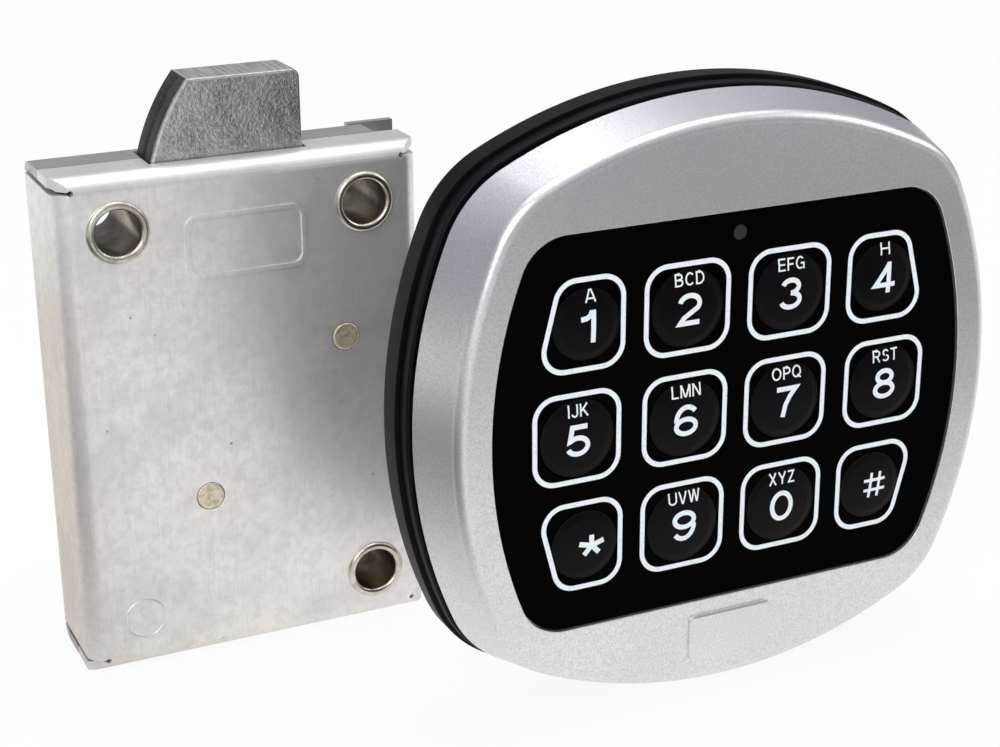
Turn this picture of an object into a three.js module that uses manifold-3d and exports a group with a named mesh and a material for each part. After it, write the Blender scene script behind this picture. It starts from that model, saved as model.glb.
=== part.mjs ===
// Electronic safe lock: a swing-bolt lock case and its separate twelve-key keypad.
// Lengths are millimetres, +Z is up, and both fronts look towards -Y.
import * as THREE from "three";
import { mergeVertices } from "three/addons/utils/BufferGeometryUtils.js";
import Module from "manifold-3d";

const wasm = await Module();
wasm.setup();

// Driving sizes

// Clearances and cut overruns that every piece shares
const fit = {
  turnGap: 0.15, // between a shaft and what turns on it
  seatGap: 0.1, // around a fixed pin in its hole
  slideGap: 0.3, // between pieces that pass each other
  touchGap: 0.3, // at rest, between a moving piece and what it pushes
  overrun: 2, // how far a cutter runs past the face that it cuts
};

// How the two units stand to each other: keypad centre measured from the lock's centre and front
const standing = {
  keypadAcross: 62,
  keypadAhead: 50.6,
};

// The standard footprint of a safe lock: screw holes 41.28 by 66.68
const eyelet = {
  spacingX: 41.28,
  spacingZ: 66.68,
  boreRadius: 3.7,
  tubeRadius: 4.3,
  rimRadius: 5.1,
  rimHeight: 0.6,
  lipWidth: 0.5,
  roundingShare: 0.3, // how far the rolled rim's corners are turned over
};

// The folded case, sized by the footprint and the margins round it
const box = {
  sideMargin: 9.86,
  endMargin: 9.16,
  depth: 18,
  sheetThick: 1.5,
  bendRadius: 3, // outside radius of every fold
  seamDepth: 9.2, // from the front face to the joint of the two trays
  seamGap: 0.3,
  cornerSlitWidth: 0.9, // between each end flange and the side flange below it
  cornerKerfWidth: 0.4, // where that slit comes out on the front face
  cornerReliefRadius: 0.45, // round end of the slit
  boltSlotEndGap: 0.5, // air at each end of the bolt in its slot
  boltSlotSideGap: 0.4,
  cableNotchInset: 8.5, // from the case's left side
  cableNotchWidth: 8.4,
  earNotchWidth: 4.1, // cut out of the rear tray's top flange at the right
  earReach: 2.2, // how far the unfolded corner of the rear plate stands out past the side
  earRootWidth: 2, // slit that frees that corner from the flange
  earSlitWidth: 0.4,
  earDrop: 7,
};

const post = {
  headRadius: 2.35,
  headRise: 0.15,
  bodyRadius: 2,
  tailRadius: 1.5,
  upperDrop: 22.84, // below the bolt's pivot
  lowerInset: 22.25, // from the case's left side
  lowerRise: 28.7, // above the case's bottom
};

const bolt = {
  frontDepth: 4.9, // behind the case's front face
  backGap: 2.9, // to the rear plate, where its spring lies
  headHeight: 12.85, // above the case
  sleeveGap: 1.88, // from its curved edge to the top left sleeve
  tipWidth: 18.9, // across the flat top
  tipCornerRadius: 1.5,
  edgeWidth: 0.5, // worn bevel round the front and back
  hubRadius: 7,
  lowEdgeAngle: 186,
  neckDrop: 2.6, // below the case's top, where the right edge turns in to the hub
  lugLength: 9.7,
  lugRadius: 1.8,
  lugAngle: 225,
  grooveWidth: 0.9,
  grooveDepth: 0.45,
  swingAngle: 47, // from thrown to drawn back
};

const lever = {
  thick: 3.5,
  hubRadius: 3.4,
  armTipRadius: 1.8,
  blockingAngle: -45, // from the bolt's lug to the arm's tip
  tailLength: 5.2,
  tailTipRadius: 1.6,
};

const solenoid = {
  width: 11,
  stripThick: 1.5,
  wallGap: 1.6, // to the case's right wall
  sleeveGap: 4.54, // above the lower right sleeve
  coilFrontGap: 0.55,
  coilBackGap: 0.85, // to the frame's rear strip
  coilWallThick: 0.8,
  plungerRadius: 1.9,
  neckHeight: 3.9,
  collarRadius: 3.1,
  collarThick: 1.2,
  springHeight: 8,
  springWireThick: 0.5,
  springTurns: 5,
};

const boltSpring = {
  radius: 5.4,
  wireThick: 0.8,
  turns: 2.5,
  legLength: 5,
};

const lockBoard = {
  thick: 1.6,
  wallGap: 1.5,
  solenoidGap: 3.9,
  boltGap: 3.8, // below the bolt's lowest corner when it is drawn back
  standoffHeight: 1.9,
  spacerRadius: 2.6,
  spacerInset: 4.2,
  spacerDrop: 6,
  screwHeadRadius: 2,
  screwHeadHeight: 1.2,
  screwShankRadius: 1,
};

// Places on the board, from its left and bottom edges and, for the capacitor, its right edge
const lockParts = {
  chipWidth: 10,
  chipThick: 1.8,
  chipCornerRadius: 0.6,
  chipInset: 10.5,
  chipRise: 21,
  capacitorRadius: 4,
  capacitorHeight: 8,
  capacitorInset: 8.5,
  capacitorRise: 13,
};

const cableSocket = {
  height: 11,
  depth: 6.6,
  wallThick: 0.9,
  mouthDepth: 7,
};

// The keypad's outlines bow outwards: four long arcs joined by corner arcs
const pad = {
  halfWidth: 47.8,
  halfHeight: 46.8,
  bowRadius: 76.5,
  cornerRadius: 15.6,
  edgeRadius: 1.9, // rounding of the front edge
  edgeShares: [0, 0.3, 0.6, 1], // where the rounding is cut into facets
  flareWidth: 3, // how much wider the rear edge is
  flareHeight: 1.9, // how much taller it is
  depth: 9.8,
  wallThick: 1.8,
  frontThick: 2.2,
};

const panel = {
  halfWidth: 42,
  halfHeight: 31.9,
  bowRadius: 74.5,
  cornerRadius: 7.8,
  recessDepth: 0.5,
  thick: 0.8,
  ledgeWidth: 1.6,
  gap: 0.15,
};

// Round domed keys; the printed frames round them are drawn on the faceplate
const key = {
  radius: 6.25,
  cornerKeyRadius: 5.65, // of the four keys at the faceplate's corners
  pitchX: 18.15,
  pitchZ: 17.87,
  middleRowShift: 0.5, // the middle row's outer keys stand further out
  cornerKeyShift: 0.9, // the corner keys stand further in
  rowDrop: 0.18,
  gap: 0.15,
  thick: 1.1,
  flangeWidth: 0.6,
  flangeThick: 0.6,
  domeRise: 0.45,
  domeSlopeWidth: 1.5,
  travelDepth: 0.6,
  restGap: 0.1,
};

const mat = {
  padRadius: 4,
  padHeight: 0.5,
  sheetThick: 0.6,
  marginWidth: 1.8, // outside the keys
  cornerRadius: 3.4,
};

const keyBoard = {
  edgeInset: 4.6,
  thick: 1.6,
  bossX: 28,
  bossZ: 33.2,
  bossRadius: 2.6,
  screwHeadRadius: 2.2,
  screwHeadHeight: 1.3,
  screwShankRadius: 1,
  screwDepth: 2.6,
};

const padParts = {
  ledRadius: 1.25,
  ledRise: 28.3,
  ledGap: 0.15,
  ledSunkDepth: 0.1,
  chipWidth: 12,
  chipThick: 1.6,
  chipCornerRadius: 0.5,
  chipX: -14,
  chipZ: 8,
  buzzerRadius: 6,
  buzzerHeight: 5.5,
  buzzerHoleRadius: 1,
  buzzerX: 20,
  buzzerZ: 12,
  socketWidth: 12,
  socketHeight: 6,
  socketDepth: 6,
  socketDrop: 20,
  socketWallThick: 1,
};

const base = {
  halfWidth: 51.75,
  halfHeight: 49.8,
  bowRadius: 80.4,
  cornerRadius: 20,
  frontDepth: 11.1, // the shoulder behind the housing's rear edge
  stepDepth: 14,
  stepInset: 0.7,
  backDepth: 18.7,
  edgeWidth: 0.5,
  floorThick: 2.2,
  wallThick: 2.4,
  lipDepth: 3.3, // how far the collar goes forward inside the housing
  lipThick: 1.5,
  cableHoleRadius: 7,
  screwX: 25,
  screwHoleRadius: 2.2,
  screwSinkRadius: 4.2,
};

// Points nearer to each other than this are one point
const weld = {
  solid: 0.0001,
  outline: 0.001,
};

// Drawing steps
const steps = {
  round: 20,
  small: 10,
  fold: 4,
  bow: 6,
  corner: 5,
  sweep: 12,
  key: 20,
  chip: 1,
  wireSides: 5,
  coil: 8, // steps in each turn of a spring
  legs: 6, // steps along the two straight ends of a spring
};

// Places worked out from the sizes

const degrees = (angle) => (angle * Math.PI) / 180;

// A point at a radius and an angle in degrees, seen from the front.
function polar(centre, radius, angle) {
  const turn = degrees(angle);
  return new THREE.Vector2(centre.x + radius * Math.cos(turn), centre.z + radius * Math.sin(turn));
}

const caseWidth = eyelet.spacingX + 2 * box.sideMargin;
const caseHeight = eyelet.spacingZ + 2 * box.endMargin;
const innerSide = caseWidth / 2 - box.sheetThick;
const innerBack = box.depth - box.sheetThick;
const sideEdge = box.sheetThick + box.cornerSlitWidth; // from the case's ends to the side flanges
const kerfEdge = sideEdge - box.cornerKerfWidth / 2;
const holeX = eyelet.spacingX / 2;
const holeLow = box.endMargin;
const holeHigh = holeLow + eyelet.spacingZ;
const pivot = { x: holeX, z: holeHigh };
const notchLeft = -caseWidth / 2 + box.cableNotchInset;
const notchRight = notchLeft + box.cableNotchWidth;

const boltBack = innerBack - bolt.backGap;
const boltMid = (bolt.frontDepth + boltBack) / 2;
const boltTop = caseHeight + bolt.headHeight;
const boltSweep = eyelet.spacingX - eyelet.tubeRadius - bolt.sleeveGap;
const tipLeft = pivot.x - Math.sqrt(boltSweep ** 2 - (boltTop - pivot.z) ** 2);
const tipRight = tipLeft + bolt.tipWidth;
const boltAtCase = pivot.x - Math.sqrt(boltSweep ** 2 - (caseHeight - pivot.z) ** 2);
const boltLowest = polar(pivot, boltSweep, bolt.lowEdgeAngle + bolt.swingAngle).y;

const plungerX = innerSide - solenoid.wallGap - solenoid.width / 2;
const upperPost = { x: plungerX - lever.tailLength, z: pivot.z - post.upperDrop };
const lowerPost = { x: -caseWidth / 2 + post.lowerInset, z: post.lowerRise };
const plungerTop = upperPost.z - lever.tailTipRadius - fit.touchGap;
const collarBottom = plungerTop - solenoid.neckHeight - solenoid.collarThick;
const solenoidTop = collarBottom - solenoid.springHeight;
const coilRadius = innerBack - solenoid.stripThick - solenoid.coilBackGap - boltMid;
const solenoidBottom = holeLow + eyelet.tubeRadius + solenoid.sleeveGap;

const boardFront = innerBack - lockBoard.standoffHeight - lockBoard.thick;
const boardBack = innerBack - lockBoard.standoffHeight;
const boardLeft = -innerSide + lockBoard.wallGap;
const boardRight = plungerX - solenoid.width / 2 - lockBoard.solenoidGap;
const boardBottom = box.sheetThick + lockBoard.wallGap;
const boardTop = boltLowest - lockBoard.boltGap;
const spacerZ = boardTop - lockBoard.spacerDrop;

const flangeFront = panel.recessDepth + key.thick;
const flangeBack = flangeFront + key.flangeThick;
const matPadFront = flangeBack + key.travelDepth + key.restGap;
const matFront = matPadFront + mat.padHeight;
const matBack = matFront + mat.sheetThick;
const keyBoardBack = matBack + keyBoard.thick;

// Shapes and solids

function circle(x, z, radius) {
  const centre = new THREE.Vector2(x, z);
  return new THREE.Shape(arcPoints(centre, radius, 0, 2 * Math.PI, steps.small).slice(1));
}

function rectangle(left, right, low, high) {
  return new THREE.Shape([
    new THREE.Vector2(left, low),
    new THREE.Vector2(right, low),
    new THREE.Vector2(right, high),
    new THREE.Vector2(left, high),
  ]);
}

// A straight-sided outline with every corner rounded.
function rounded(corners, radius) {
  const shape = new THREE.Shape();
  const count = corners.length;
  corners.forEach((corner, i) => {
    const before = corners[(i + count - 1) % count].clone().sub(corner).normalize();
    const after = corners[(i + 1) % count].clone().sub(corner).normalize();
    const half = Math.acos(before.dot(after)) / 2;
    const reach = radius / Math.tan(half);
    const middle = before.clone().add(after).normalize();
    const centre = corner.clone().addScaledVector(middle, radius / Math.sin(half));
    const start = corner.clone().addScaledVector(before, reach);
    const end = corner.clone().addScaledVector(after, reach);
    const from = Math.atan2(start.y - centre.y, start.x - centre.x);
    const to = Math.atan2(end.y - centre.y, end.x - centre.x);
    const clockwise = before.cross(after) > 0;
    shape.absarc(centre.x, centre.y, radius, from, to, clockwise);
  });
  shape.closePath();
  return shape;
}

function roundedRectangle(x, z, width, height, radius) {
  const w = width / 2;
  const h = height / 2;
  const corners = [[-w, -h], [w, -h], [w, h], [-w, h]];
  return rounded(corners.map(([u, v]) => new THREE.Vector2(x + u, z + v)), radius);
}

// Which way a drawn outline is pushed: the outline's X and Y, and the push, as world axes.
const axes = {
  x: [new THREE.Vector3(0, 1, 0), new THREE.Vector3(0, 0, 1), new THREE.Vector3(1, 0, 0)],
  y: [new THREE.Vector3(1, 0, 0), new THREE.Vector3(0, 0, 1), new THREE.Vector3(0, -1, 0)],
  z: [new THREE.Vector3(1, 0, 0), new THREE.Vector3(0, 1, 0), new THREE.Vector3(0, 0, 1)],
};

// An outline pushed along an axis from one place to another, with an optional worn edge.
function prism(shape, axis, from, to, edge = 0, curveSegments = steps.round) {
  const geometry = new THREE.ExtrudeGeometry(shape, {
    depth: to - from - 2 * edge,
    curveSegments,
    bevelEnabled: edge > 0,
    bevelThickness: edge,
    bevelSize: edge,
    bevelOffset: -edge,
    bevelSegments: 2,
  });
  geometry.applyMatrix4(new THREE.Matrix4().makeBasis(...axes[axis]));
  const start = axis === "y" ? -to + edge : from + edge;
  return solid(geometry.translate(...axes[axis][2].toArray().map((share) => share * start)));
}

// A plate between two depths: the outline is drawn as seen from the front.
function plate(shape, front, back, curveSegments) {
  return prism(shape, "y", front, back, 0, curveSegments);
}

// A round piece on a line along Y: the profile lists radius and depth, and closes on itself.
function turned(x, z, profile, segments = steps.round) {
  const points = profile.map(([radius, depth]) => new THREE.Vector2(radius, depth));
  points.push(points[0].clone());
  return solid(new THREE.LatheGeometry(points, segments).translate(x, 0, z));
}

function cylinder(x, z, radius, front, back, segments = steps.round) {
  const geometry = new THREE.CylinderGeometry(radius, radius, back - front, segments);
  return solid(geometry.translate(x, (front + back) / 2, z));
}

function block(left, right, front, back, low, high) {
  return prism(rectangle(left, right, low, high), "y", front, back);
}

// A closed three.js geometry as a solid that can be joined and cut.
function solid(geometry) {
  const bare = geometry.clone();
  bare.deleteAttribute("normal");
  bare.deleteAttribute("uv");
  const merged = mergeVertices(bare, weld.solid);
  const index = merged.index.array;
  const kept = [];
  for (let i = 0; i < index.length; i += 3) {
    const [a, b, c] = [index[i], index[i + 1], index[i + 2]];
    if (a !== b && b !== c && c !== a) kept.push(a, b, c);
  }
  return new wasm.Manifold(
    new wasm.Mesh({
      numProp: 3,
      vertProperties: new Float32Array(merged.attributes.position.array),
      triVerts: new Uint32Array(kept),
    }),
  );
}

function cut(body, ...tools) {
  return tools.reduce((left, tool) => left.subtract(tool), body);
}

function join(...bodies) {
  return bodies.reduce((whole, body) => whole.add(body));
}

function geometryOf(body) {
  const mesh = body.getMesh();
  const geometry = new THREE.BufferGeometry();
  geometry.setAttribute("position", new THREE.BufferAttribute(mesh.vertProperties, mesh.numProp));
  geometry.setIndex(new THREE.BufferAttribute(mesh.triVerts, 1));
  geometry.computeVertexNormals();
  return geometry;
}

// Finishes

const finishes = {
  steel: { color: 0xa9a6a4, roughness: 0.38, metalness: 1 },
  nickel: { color: 0xb9b3a4, roughness: 0.22, metalness: 1 },
  rivet: { color: 0xb7a99a, roughness: 0.4, metalness: 1 },
  castMetal: { color: 0x77757a, roughness: 0.45, metalness: 1 },
  springSteel: { color: 0x8d8f94, roughness: 0.35, metalness: 1 },
  copper: { color: 0x9a5a34, roughness: 0.4, metalness: 0.9 },
  board: { color: 0x1f5a3a, roughness: 0.5, metalness: 0 },
  blackPart: { color: 0x161617, roughness: 0.6, metalness: 0 },
  socket: { color: 0xd8d4c8, roughness: 0.55, metalness: 0 },
  silver: { color: 0xb9babf, roughness: 0.34, metalness: 0.85 },
  faceplate: { color: 0x0b0b0d, roughness: 0.55, metalness: 0 },
  keycap: { color: 0x101013, roughness: 0.5, metalness: 0 },
  lens: { color: 0x4a4a4c, roughness: 0.3, metalness: 0 },
  rubber: { color: 0x8f9294, roughness: 0.8, metalness: 0 },
  blackPlastic: { color: 0x141415, roughness: 0.65, metalness: 0 },
};

function piece(name, finish, body) {
  const mesh = new THREE.Mesh(geometryOf(body), new THREE.MeshStandardMaterial(finishes[finish]));
  mesh.name = name;
  return mesh;
}

// Lock case

// The cross-section of a folded tray: depth runs from its face to its open edge.
function foldProfile(low, high, face, open, radius, swap) {
  const toOpen = Math.sign(open - face);
  const points = [[high, open], [low, open]];
  for (let i = 0; i <= steps.fold; i += 1) {
    const turn = (i / steps.fold) * (Math.PI / 2);
    points.push([low + radius * (1 - Math.cos(turn)), face + toOpen * radius * (1 - Math.sin(turn))]);
  }
  for (let i = steps.fold; i >= 0; i -= 1) {
    const turn = (i / steps.fold) * (Math.PI / 2);
    points.push([high - radius * (1 - Math.cos(turn)), face + toOpen * radius * (1 - Math.sin(turn))]);
  }
  return new THREE.Shape(points.map(([u, v]) => (swap ? new THREE.Vector2(v, u) : new THREE.Vector2(u, v))));
}

// A block whose face edges are all folded: two crossing profiles in common.
function foldedBlock(inset, face, open) {
  const half = caseWidth / 2 - inset;
  const radius = box.bendRadius - inset;
  const across = foldProfile(-half, half, face, open, radius, false);
  const upright = foldProfile(inset, caseHeight - inset, face, open, radius, true);
  return prism(across, "z", inset, caseHeight - inset).intersect(prism(upright, "x", -half, half));
}

function tray(face, open) {
  const toOpen = Math.sign(open - face);
  const hollow = foldedBlock(box.sheetThick, face + toOpen * box.sheetThick, open + toOpen * fit.overrun);
  return cut(foldedBlock(0, face, open), hollow);
}

// A sheet folded at its top and bottom only.
function channel(face, open) {
  const toOpen = Math.sign(open - face);
  const { sheetThick, bendRadius } = box;
  const half = caseWidth / 2;
  const outside = foldProfile(0, caseHeight, face, open, bendRadius, true);
  const inside = foldProfile(
    sheetThick,
    caseHeight - sheetThick,
    face + toOpen * sheetThick,
    open + toOpen * fit.overrun,
    bendRadius - sheetThick,
    true,
  );
  return cut(
    prism(outside, "x", -half, half),
    prism(inside, "x", -half - fit.overrun, half + fit.overrun),
  );
}

// The case's corners seen from the front: from the side folds outwards, a margin down and up.
function corners(margin) {
  const inner = caseWidth / 2 - box.bendRadius;
  const outer = caseWidth / 2 + fit.overrun;
  const levels = [[-fit.overrun, margin], [caseHeight - margin, caseHeight + fit.overrun]];
  return join(
    ...[[-outer, -inner], [inner, outer]].flatMap(([left, right]) =>
      levels.map(([low, high]) => block(left, right, -fit.overrun, box.depth + fit.overrun, low, high)),
    ),
  );
}

function boltSlot() {
  return block(
    boltAtCase - box.boltSlotEndGap,
    tipRight + box.boltSlotEndGap,
    bolt.frontDepth - box.boltSlotSideGap,
    boltBack + box.boltSlotSideGap,
    caseHeight - box.bendRadius,
    caseHeight + fit.overrun,
  );
}

function screwHoles(front, back) {
  return [[-holeX, holeHigh], [holeX, holeHigh], [holeX, holeLow]].map(([x, z]) =>
    cylinder(x, z, eyelet.tubeRadius + fit.seatGap, front, back),
  );
}

function postHoles(radius, front, back) {
  return [upperPost, lowerPost].map(({ x, z }) =>
    cylinder(x, z, radius, front, back),
  );
}

function cableNotch(front, back) {
  return block(notchLeft, notchRight, front, back, -fit.overrun, box.sheetThick + fit.overrun);
}

// The corners of the front tray's end flanges, cut off diagonally between side fold and side.
function flangeCorners(open) {
  const half = caseWidth / 2;
  const triangle = [
    [half - box.bendRadius - fit.overrun, -fit.overrun],
    [half + fit.overrun, -fit.overrun],
    [half + fit.overrun, box.bendRadius + fit.overrun],
  ];
  const diagonals = [-1, 1].map((side) => {
    const points = triangle.map(([x, depth]) => new THREE.Vector2(side * x, depth));
    return prism(new THREE.Shape(points), "z", -fit.overrun, caseHeight + fit.overrun);
  });
  return cut(channel(0, open).intersect(corners(sideEdge - box.cornerKerfWidth)), ...diagonals);
}

// The front tray: its side flanges run to the back of the case, its end flanges only to the seam.
function frontCover() {
  const open = box.seamDepth - box.seamGap / 2;
  const half = caseWidth / 2;
  const flanges = [[-half, -innerSide], [innerSide, half]].map(([left, right]) =>
    block(left, right, box.bendRadius, box.depth, sideEdge, caseHeight - sideEdge),
  );
  const reliefs = [-1, 1].flatMap((side) =>
    [kerfEdge, caseHeight - kerfEdge].map((level) =>
      cylinder(
        side * (half - box.bendRadius),
        level,
        box.cornerReliefRadius,
        -fit.overrun,
        box.bendRadius,
        steps.small,
      ),
    ),
  );
  return cut(
    join(
      cut(tray(0, open), corners(sideEdge)),
      flangeCorners(open),
      ...flanges,
    ),
    boltSlot(),
    cableNotch(box.sheetThick, open + fit.overrun),
    ...reliefs,
    ...screwHoles(-fit.overrun, box.sheetThick + fit.overrun),
    ...postHoles(post.headRadius + fit.seatGap, -fit.overrun, box.sheetThick + fit.overrun),
  );
}

// The rear plate with its two end flanges; one corner of it is left flat as an ear.
function rearCase() {
  const open = box.seamDepth + box.seamGap / 2;
  const right = caseWidth / 2;
  const plateSide = innerSide - box.seamGap;
  const endEdge = sideEdge - box.cornerKerfWidth;
  const earLeft = right - box.earNotchWidth - box.earRootWidth;
  const above = caseHeight + fit.overrun;
  const beside = [[-right - fit.overrun, -plateSide], [plateSide, right + fit.overrun]].map(([low, high]) =>
    block(low, high, open - fit.overrun, box.depth + fit.overrun, endEdge, caseHeight - endEdge),
  );
  const bent = cut(
    channel(box.depth, open),
    block(
      right - box.earNotchWidth,
      right + fit.overrun,
      open - fit.overrun,
      innerBack,
      caseHeight - box.earDrop,
      above,
    ),
    block(earLeft, right, innerBack - box.earSlitWidth, innerBack, caseHeight - box.earDrop, above),
    ...beside,
  );
  return cut(
    join(
      bent,
      block(earLeft, plateSide, innerBack, box.depth, caseHeight - box.earDrop, caseHeight),
      block(earLeft, right + box.earReach, innerBack, box.depth, caseHeight - endEdge, caseHeight),
    ),
    boltSlot(),
    cableNotch(open - fit.overrun, innerBack - lockBoard.standoffHeight),
    ...screwHoles(innerBack - fit.overrun, box.depth + fit.overrun),
    ...postHoles(post.tailRadius + fit.seatGap, innerBack - fit.overrun, box.depth + fit.overrun),
  );
}

function eyeletSleeve(x, z) {
  const { boreRadius, tubeRadius, rimRadius, rimHeight, lipWidth, roundingShare } = eyelet;
  return turned(x, z, [
    [boreRadius, box.depth],
    [boreRadius, lipWidth],
    [boreRadius + lipWidth * roundingShare, -rimHeight * roundingShare],
    [boreRadius + lipWidth, -rimHeight],
    [rimRadius - lipWidth, -rimHeight],
    [rimRadius - lipWidth * roundingShare, -rimHeight * (1 - roundingShare)],
    [rimRadius, 0],
    [tubeRadius, 0],
    [tubeRadius, box.depth],
  ]);
}

// A riveted post: its flat head fills the front cover's hole and its tail the rear plate's.
function rivetedPost({ x, z }) {
  return join(
    cylinder(x, z, post.headRadius, -post.headRise, box.sheetThick),
    cylinder(x, z, post.bodyRadius, 0, innerBack, steps.small),
    cylinder(x, z, post.tailRadius, 0, box.depth),
  );
}

// Bolt work

function boltHead() {
  const shape = new THREE.Shape();
  const low = polar(pivot, boltSweep, bolt.lowEdgeAngle);
  const tipAngle = Math.atan2(boltTop - pivot.z, tipLeft - pivot.x);
  const corner = bolt.tipCornerRadius;
  shape.moveTo(tipRight, boltTop - corner);
  shape.absarc(tipRight - corner, boltTop - corner, corner, 0, Math.PI / 2, false);
  shape.lineTo(tipLeft, boltTop);
  shape.absarc(pivot.x, pivot.z, boltSweep, tipAngle, degrees(bolt.lowEdgeAngle), false);
  shape.lineTo(low.x, low.y);
  shape.lineTo(pivot.x, pivot.z - bolt.hubRadius + bolt.edgeWidth);
  shape.lineTo(pivot.x, pivot.z + bolt.hubRadius - bolt.edgeWidth);
  shape.lineTo(tipRight, caseHeight - bolt.neckDrop);
  return prism(shape, "y", bolt.frontDepth, boltBack, bolt.edgeWidth, steps.sweep);
}

// The parting groove that the casting leaves along the curved edge.
function boltGroove() {
  return turned(
    pivot.x,
    pivot.z,
    [
      [boltSweep - bolt.grooveDepth, boltMid],
      [boltSweep + bolt.grooveDepth, boltMid - bolt.grooveWidth],
      [boltSweep + bolt.grooveDepth, boltMid + bolt.grooveWidth],
    ],
    2 * steps.round,
  );
}

// A straight arm of even width from a centre to an end, which is round.
function arm(centre, end, radius, front, back) {
  const start = new THREE.Vector2(centre.x, centre.z);
  const along = end.clone().sub(start).normalize();
  const side = new THREE.Vector2(-along.y, along.x);
  const outline = new THREE.Shape([
    start.clone().addScaledVector(side, radius),
    start.clone().addScaledVector(side, -radius),
    end.clone().addScaledVector(side, -radius),
    end.clone().addScaledVector(side, radius),
  ]);
  return join(plate(outline, front, back), cylinder(end.x, end.y, radius, front, back, steps.small));
}

// The middle of the round end of the lug that the lever stops.
function lugEnd() {
  return polar(pivot, bolt.lugLength, bolt.lugAngle);
}

function swingBolt() {
  const { frontDepth, hubRadius, lugRadius } = bolt;
  const lug = arm(pivot, lugEnd(), lugRadius, frontDepth, boltBack);
  const bore = eyelet.tubeRadius + fit.turnGap;
  return cut(
    join(boltHead(), cylinder(pivot.x, pivot.z, hubRadius, frontDepth, boltBack), lug),
    boltGroove(),
    cylinder(pivot.x, pivot.z, bore, frontDepth - fit.overrun, boltBack + fit.overrun),
  );
}

function blockingLever() {
  const front = boltMid - lever.thick / 2;
  const back = boltMid + lever.thick / 2;
  const lug = lugEnd();
  const reach = bolt.lugRadius + fit.touchGap + lever.armTipRadius;
  const armEnd = polar({ x: lug.x, z: lug.y }, reach, lever.blockingAngle);
  const tailEnd = polar(upperPost, lever.tailLength, 0);
  const bore = post.bodyRadius + fit.turnGap;
  return cut(
    join(
      cylinder(upperPost.x, upperPost.z, lever.hubRadius, front, back),
      arm(upperPost, armEnd, lever.armTipRadius, front, back),
      arm(upperPost, tailEnd, lever.tailTipRadius, front, back),
    ),
    cylinder(upperPost.x, upperPost.z, bore, front - fit.overrun, back + fit.overrun),
  );
}

// A wire of round section along a curve.
function wire(curve, radius, count) {
  const centre = new THREE.Vector2(0, 0);
  const section = new THREE.Shape(arcPoints(centre, radius, 0, 2 * Math.PI, steps.wireSides).slice(1));
  return solid(new THREE.ExtrudeGeometry(section, { steps: count, extrudePath: curve }));
}

function torsionSpring() {
  const { radius, turns, legLength, wireThick } = boltSpring;
  const front = boltBack + fit.touchGap + wireThick / 2;
  const back = innerBack - fit.touchGap - wireThick / 2;
  const count = Math.round(turns * steps.coil);
  const points = [];
  for (let i = 0; i <= count; i += 1) {
    const share = i / count;
    const turn = degrees(-90) + share * turns * 2 * Math.PI;
    points.push(
      new THREE.Vector3(
        pivot.x + radius * Math.cos(turn),
        front + share * (back - front),
        pivot.z + radius * Math.sin(turn),
      ),
    );
  }
  const first = points[0].clone().add(new THREE.Vector3(-legLength, 0, 0));
  const last = points[count].clone().add(new THREE.Vector3(-legLength, 0, 0));
  const curve = new THREE.CatmullRomCurve3([first, ...points, last]);
  return wire(curve, wireThick / 2, count + steps.legs);
}

function compressionSpring() {
  const { springWireThick, springTurns, collarRadius, plungerRadius } = solenoid;
  const low = solenoidTop + fit.touchGap + springWireThick / 2;
  const high = collarBottom - fit.touchGap - springWireThick / 2;
  const radius = (collarRadius + plungerRadius + fit.slideGap) / 2;
  const count = springTurns * steps.coil;
  const points = [];
  for (let i = 0; i <= count; i += 1) {
    const share = i / count;
    const turn = share * springTurns * 2 * Math.PI;
    points.push(
      new THREE.Vector3(
        plungerX + radius * Math.cos(turn),
        boltMid + radius * Math.sin(turn),
        low + share * (high - low),
      ),
    );
  }
  return wire(new THREE.CatmullRomCurve3(points), springWireThick / 2, count);
}

// An upright round piece on the plunger's line.
function upright(radius, low, high, segments = steps.round) {
  const geometry = new THREE.CylinderGeometry(radius, radius, high - low, segments);
  return solid(geometry.rotateX(Math.PI / 2).translate(plungerX, boltMid, (low + high) / 2));
}

function solenoidFrame() {
  const left = plungerX - solenoid.width / 2;
  const right = plungerX + solenoid.width / 2;
  const front = boltMid - coilRadius - solenoid.coilFrontGap;
  const window = block(
    left - fit.overrun,
    right + fit.overrun,
    front - fit.overrun,
    innerBack - solenoid.stripThick,
    solenoidBottom + solenoid.stripThick,
    solenoidTop - solenoid.stripThick,
  );
  const bore = solenoid.plungerRadius + fit.slideGap;
  return cut(
    block(left, right, front, innerBack, solenoidBottom, solenoidTop),
    window,
    upright(bore, solenoidTop - 2 * solenoid.stripThick, solenoidTop + fit.overrun),
  );
}

function solenoidCoil() {
  const low = solenoidBottom + solenoid.stripThick + fit.touchGap;
  const high = solenoidTop - solenoid.stripThick - fit.touchGap;
  const waist = coilRadius - solenoid.coilWallThick;
  return cut(
    join(
      upright(waist, low, high),
      upright(coilRadius, low, low + solenoid.coilWallThick),
      upright(coilRadius, high - solenoid.coilWallThick, high),
    ),
    upright(solenoid.plungerRadius + fit.slideGap, low + solenoid.stripThick, high + fit.overrun),
  );
}

function solenoidPlunger() {
  return join(
    upright(solenoid.plungerRadius, (solenoidBottom + solenoidTop) / 2, plungerTop),
    upright(solenoid.collarRadius, collarBottom, collarBottom + solenoid.collarThick),
  );
}

// Lock electronics

function spacerPlaces() {
  return [boardLeft + lockBoard.spacerInset, boardRight - lockBoard.spacerInset];
}

function lockCircuitBoard() {
  const outline = rectangle(boardLeft, boardRight, boardBottom, boardTop);
  const shaft = lockBoard.screwShankRadius + fit.seatGap;
  outline.holes.push(circle(lowerPost.x, lowerPost.z, post.bodyRadius + fit.slideGap));
  spacerPlaces().forEach((x) => outline.holes.push(circle(x, spacerZ, shaft)));
  return plate(outline, boardFront, boardBack, steps.small);
}

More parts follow.
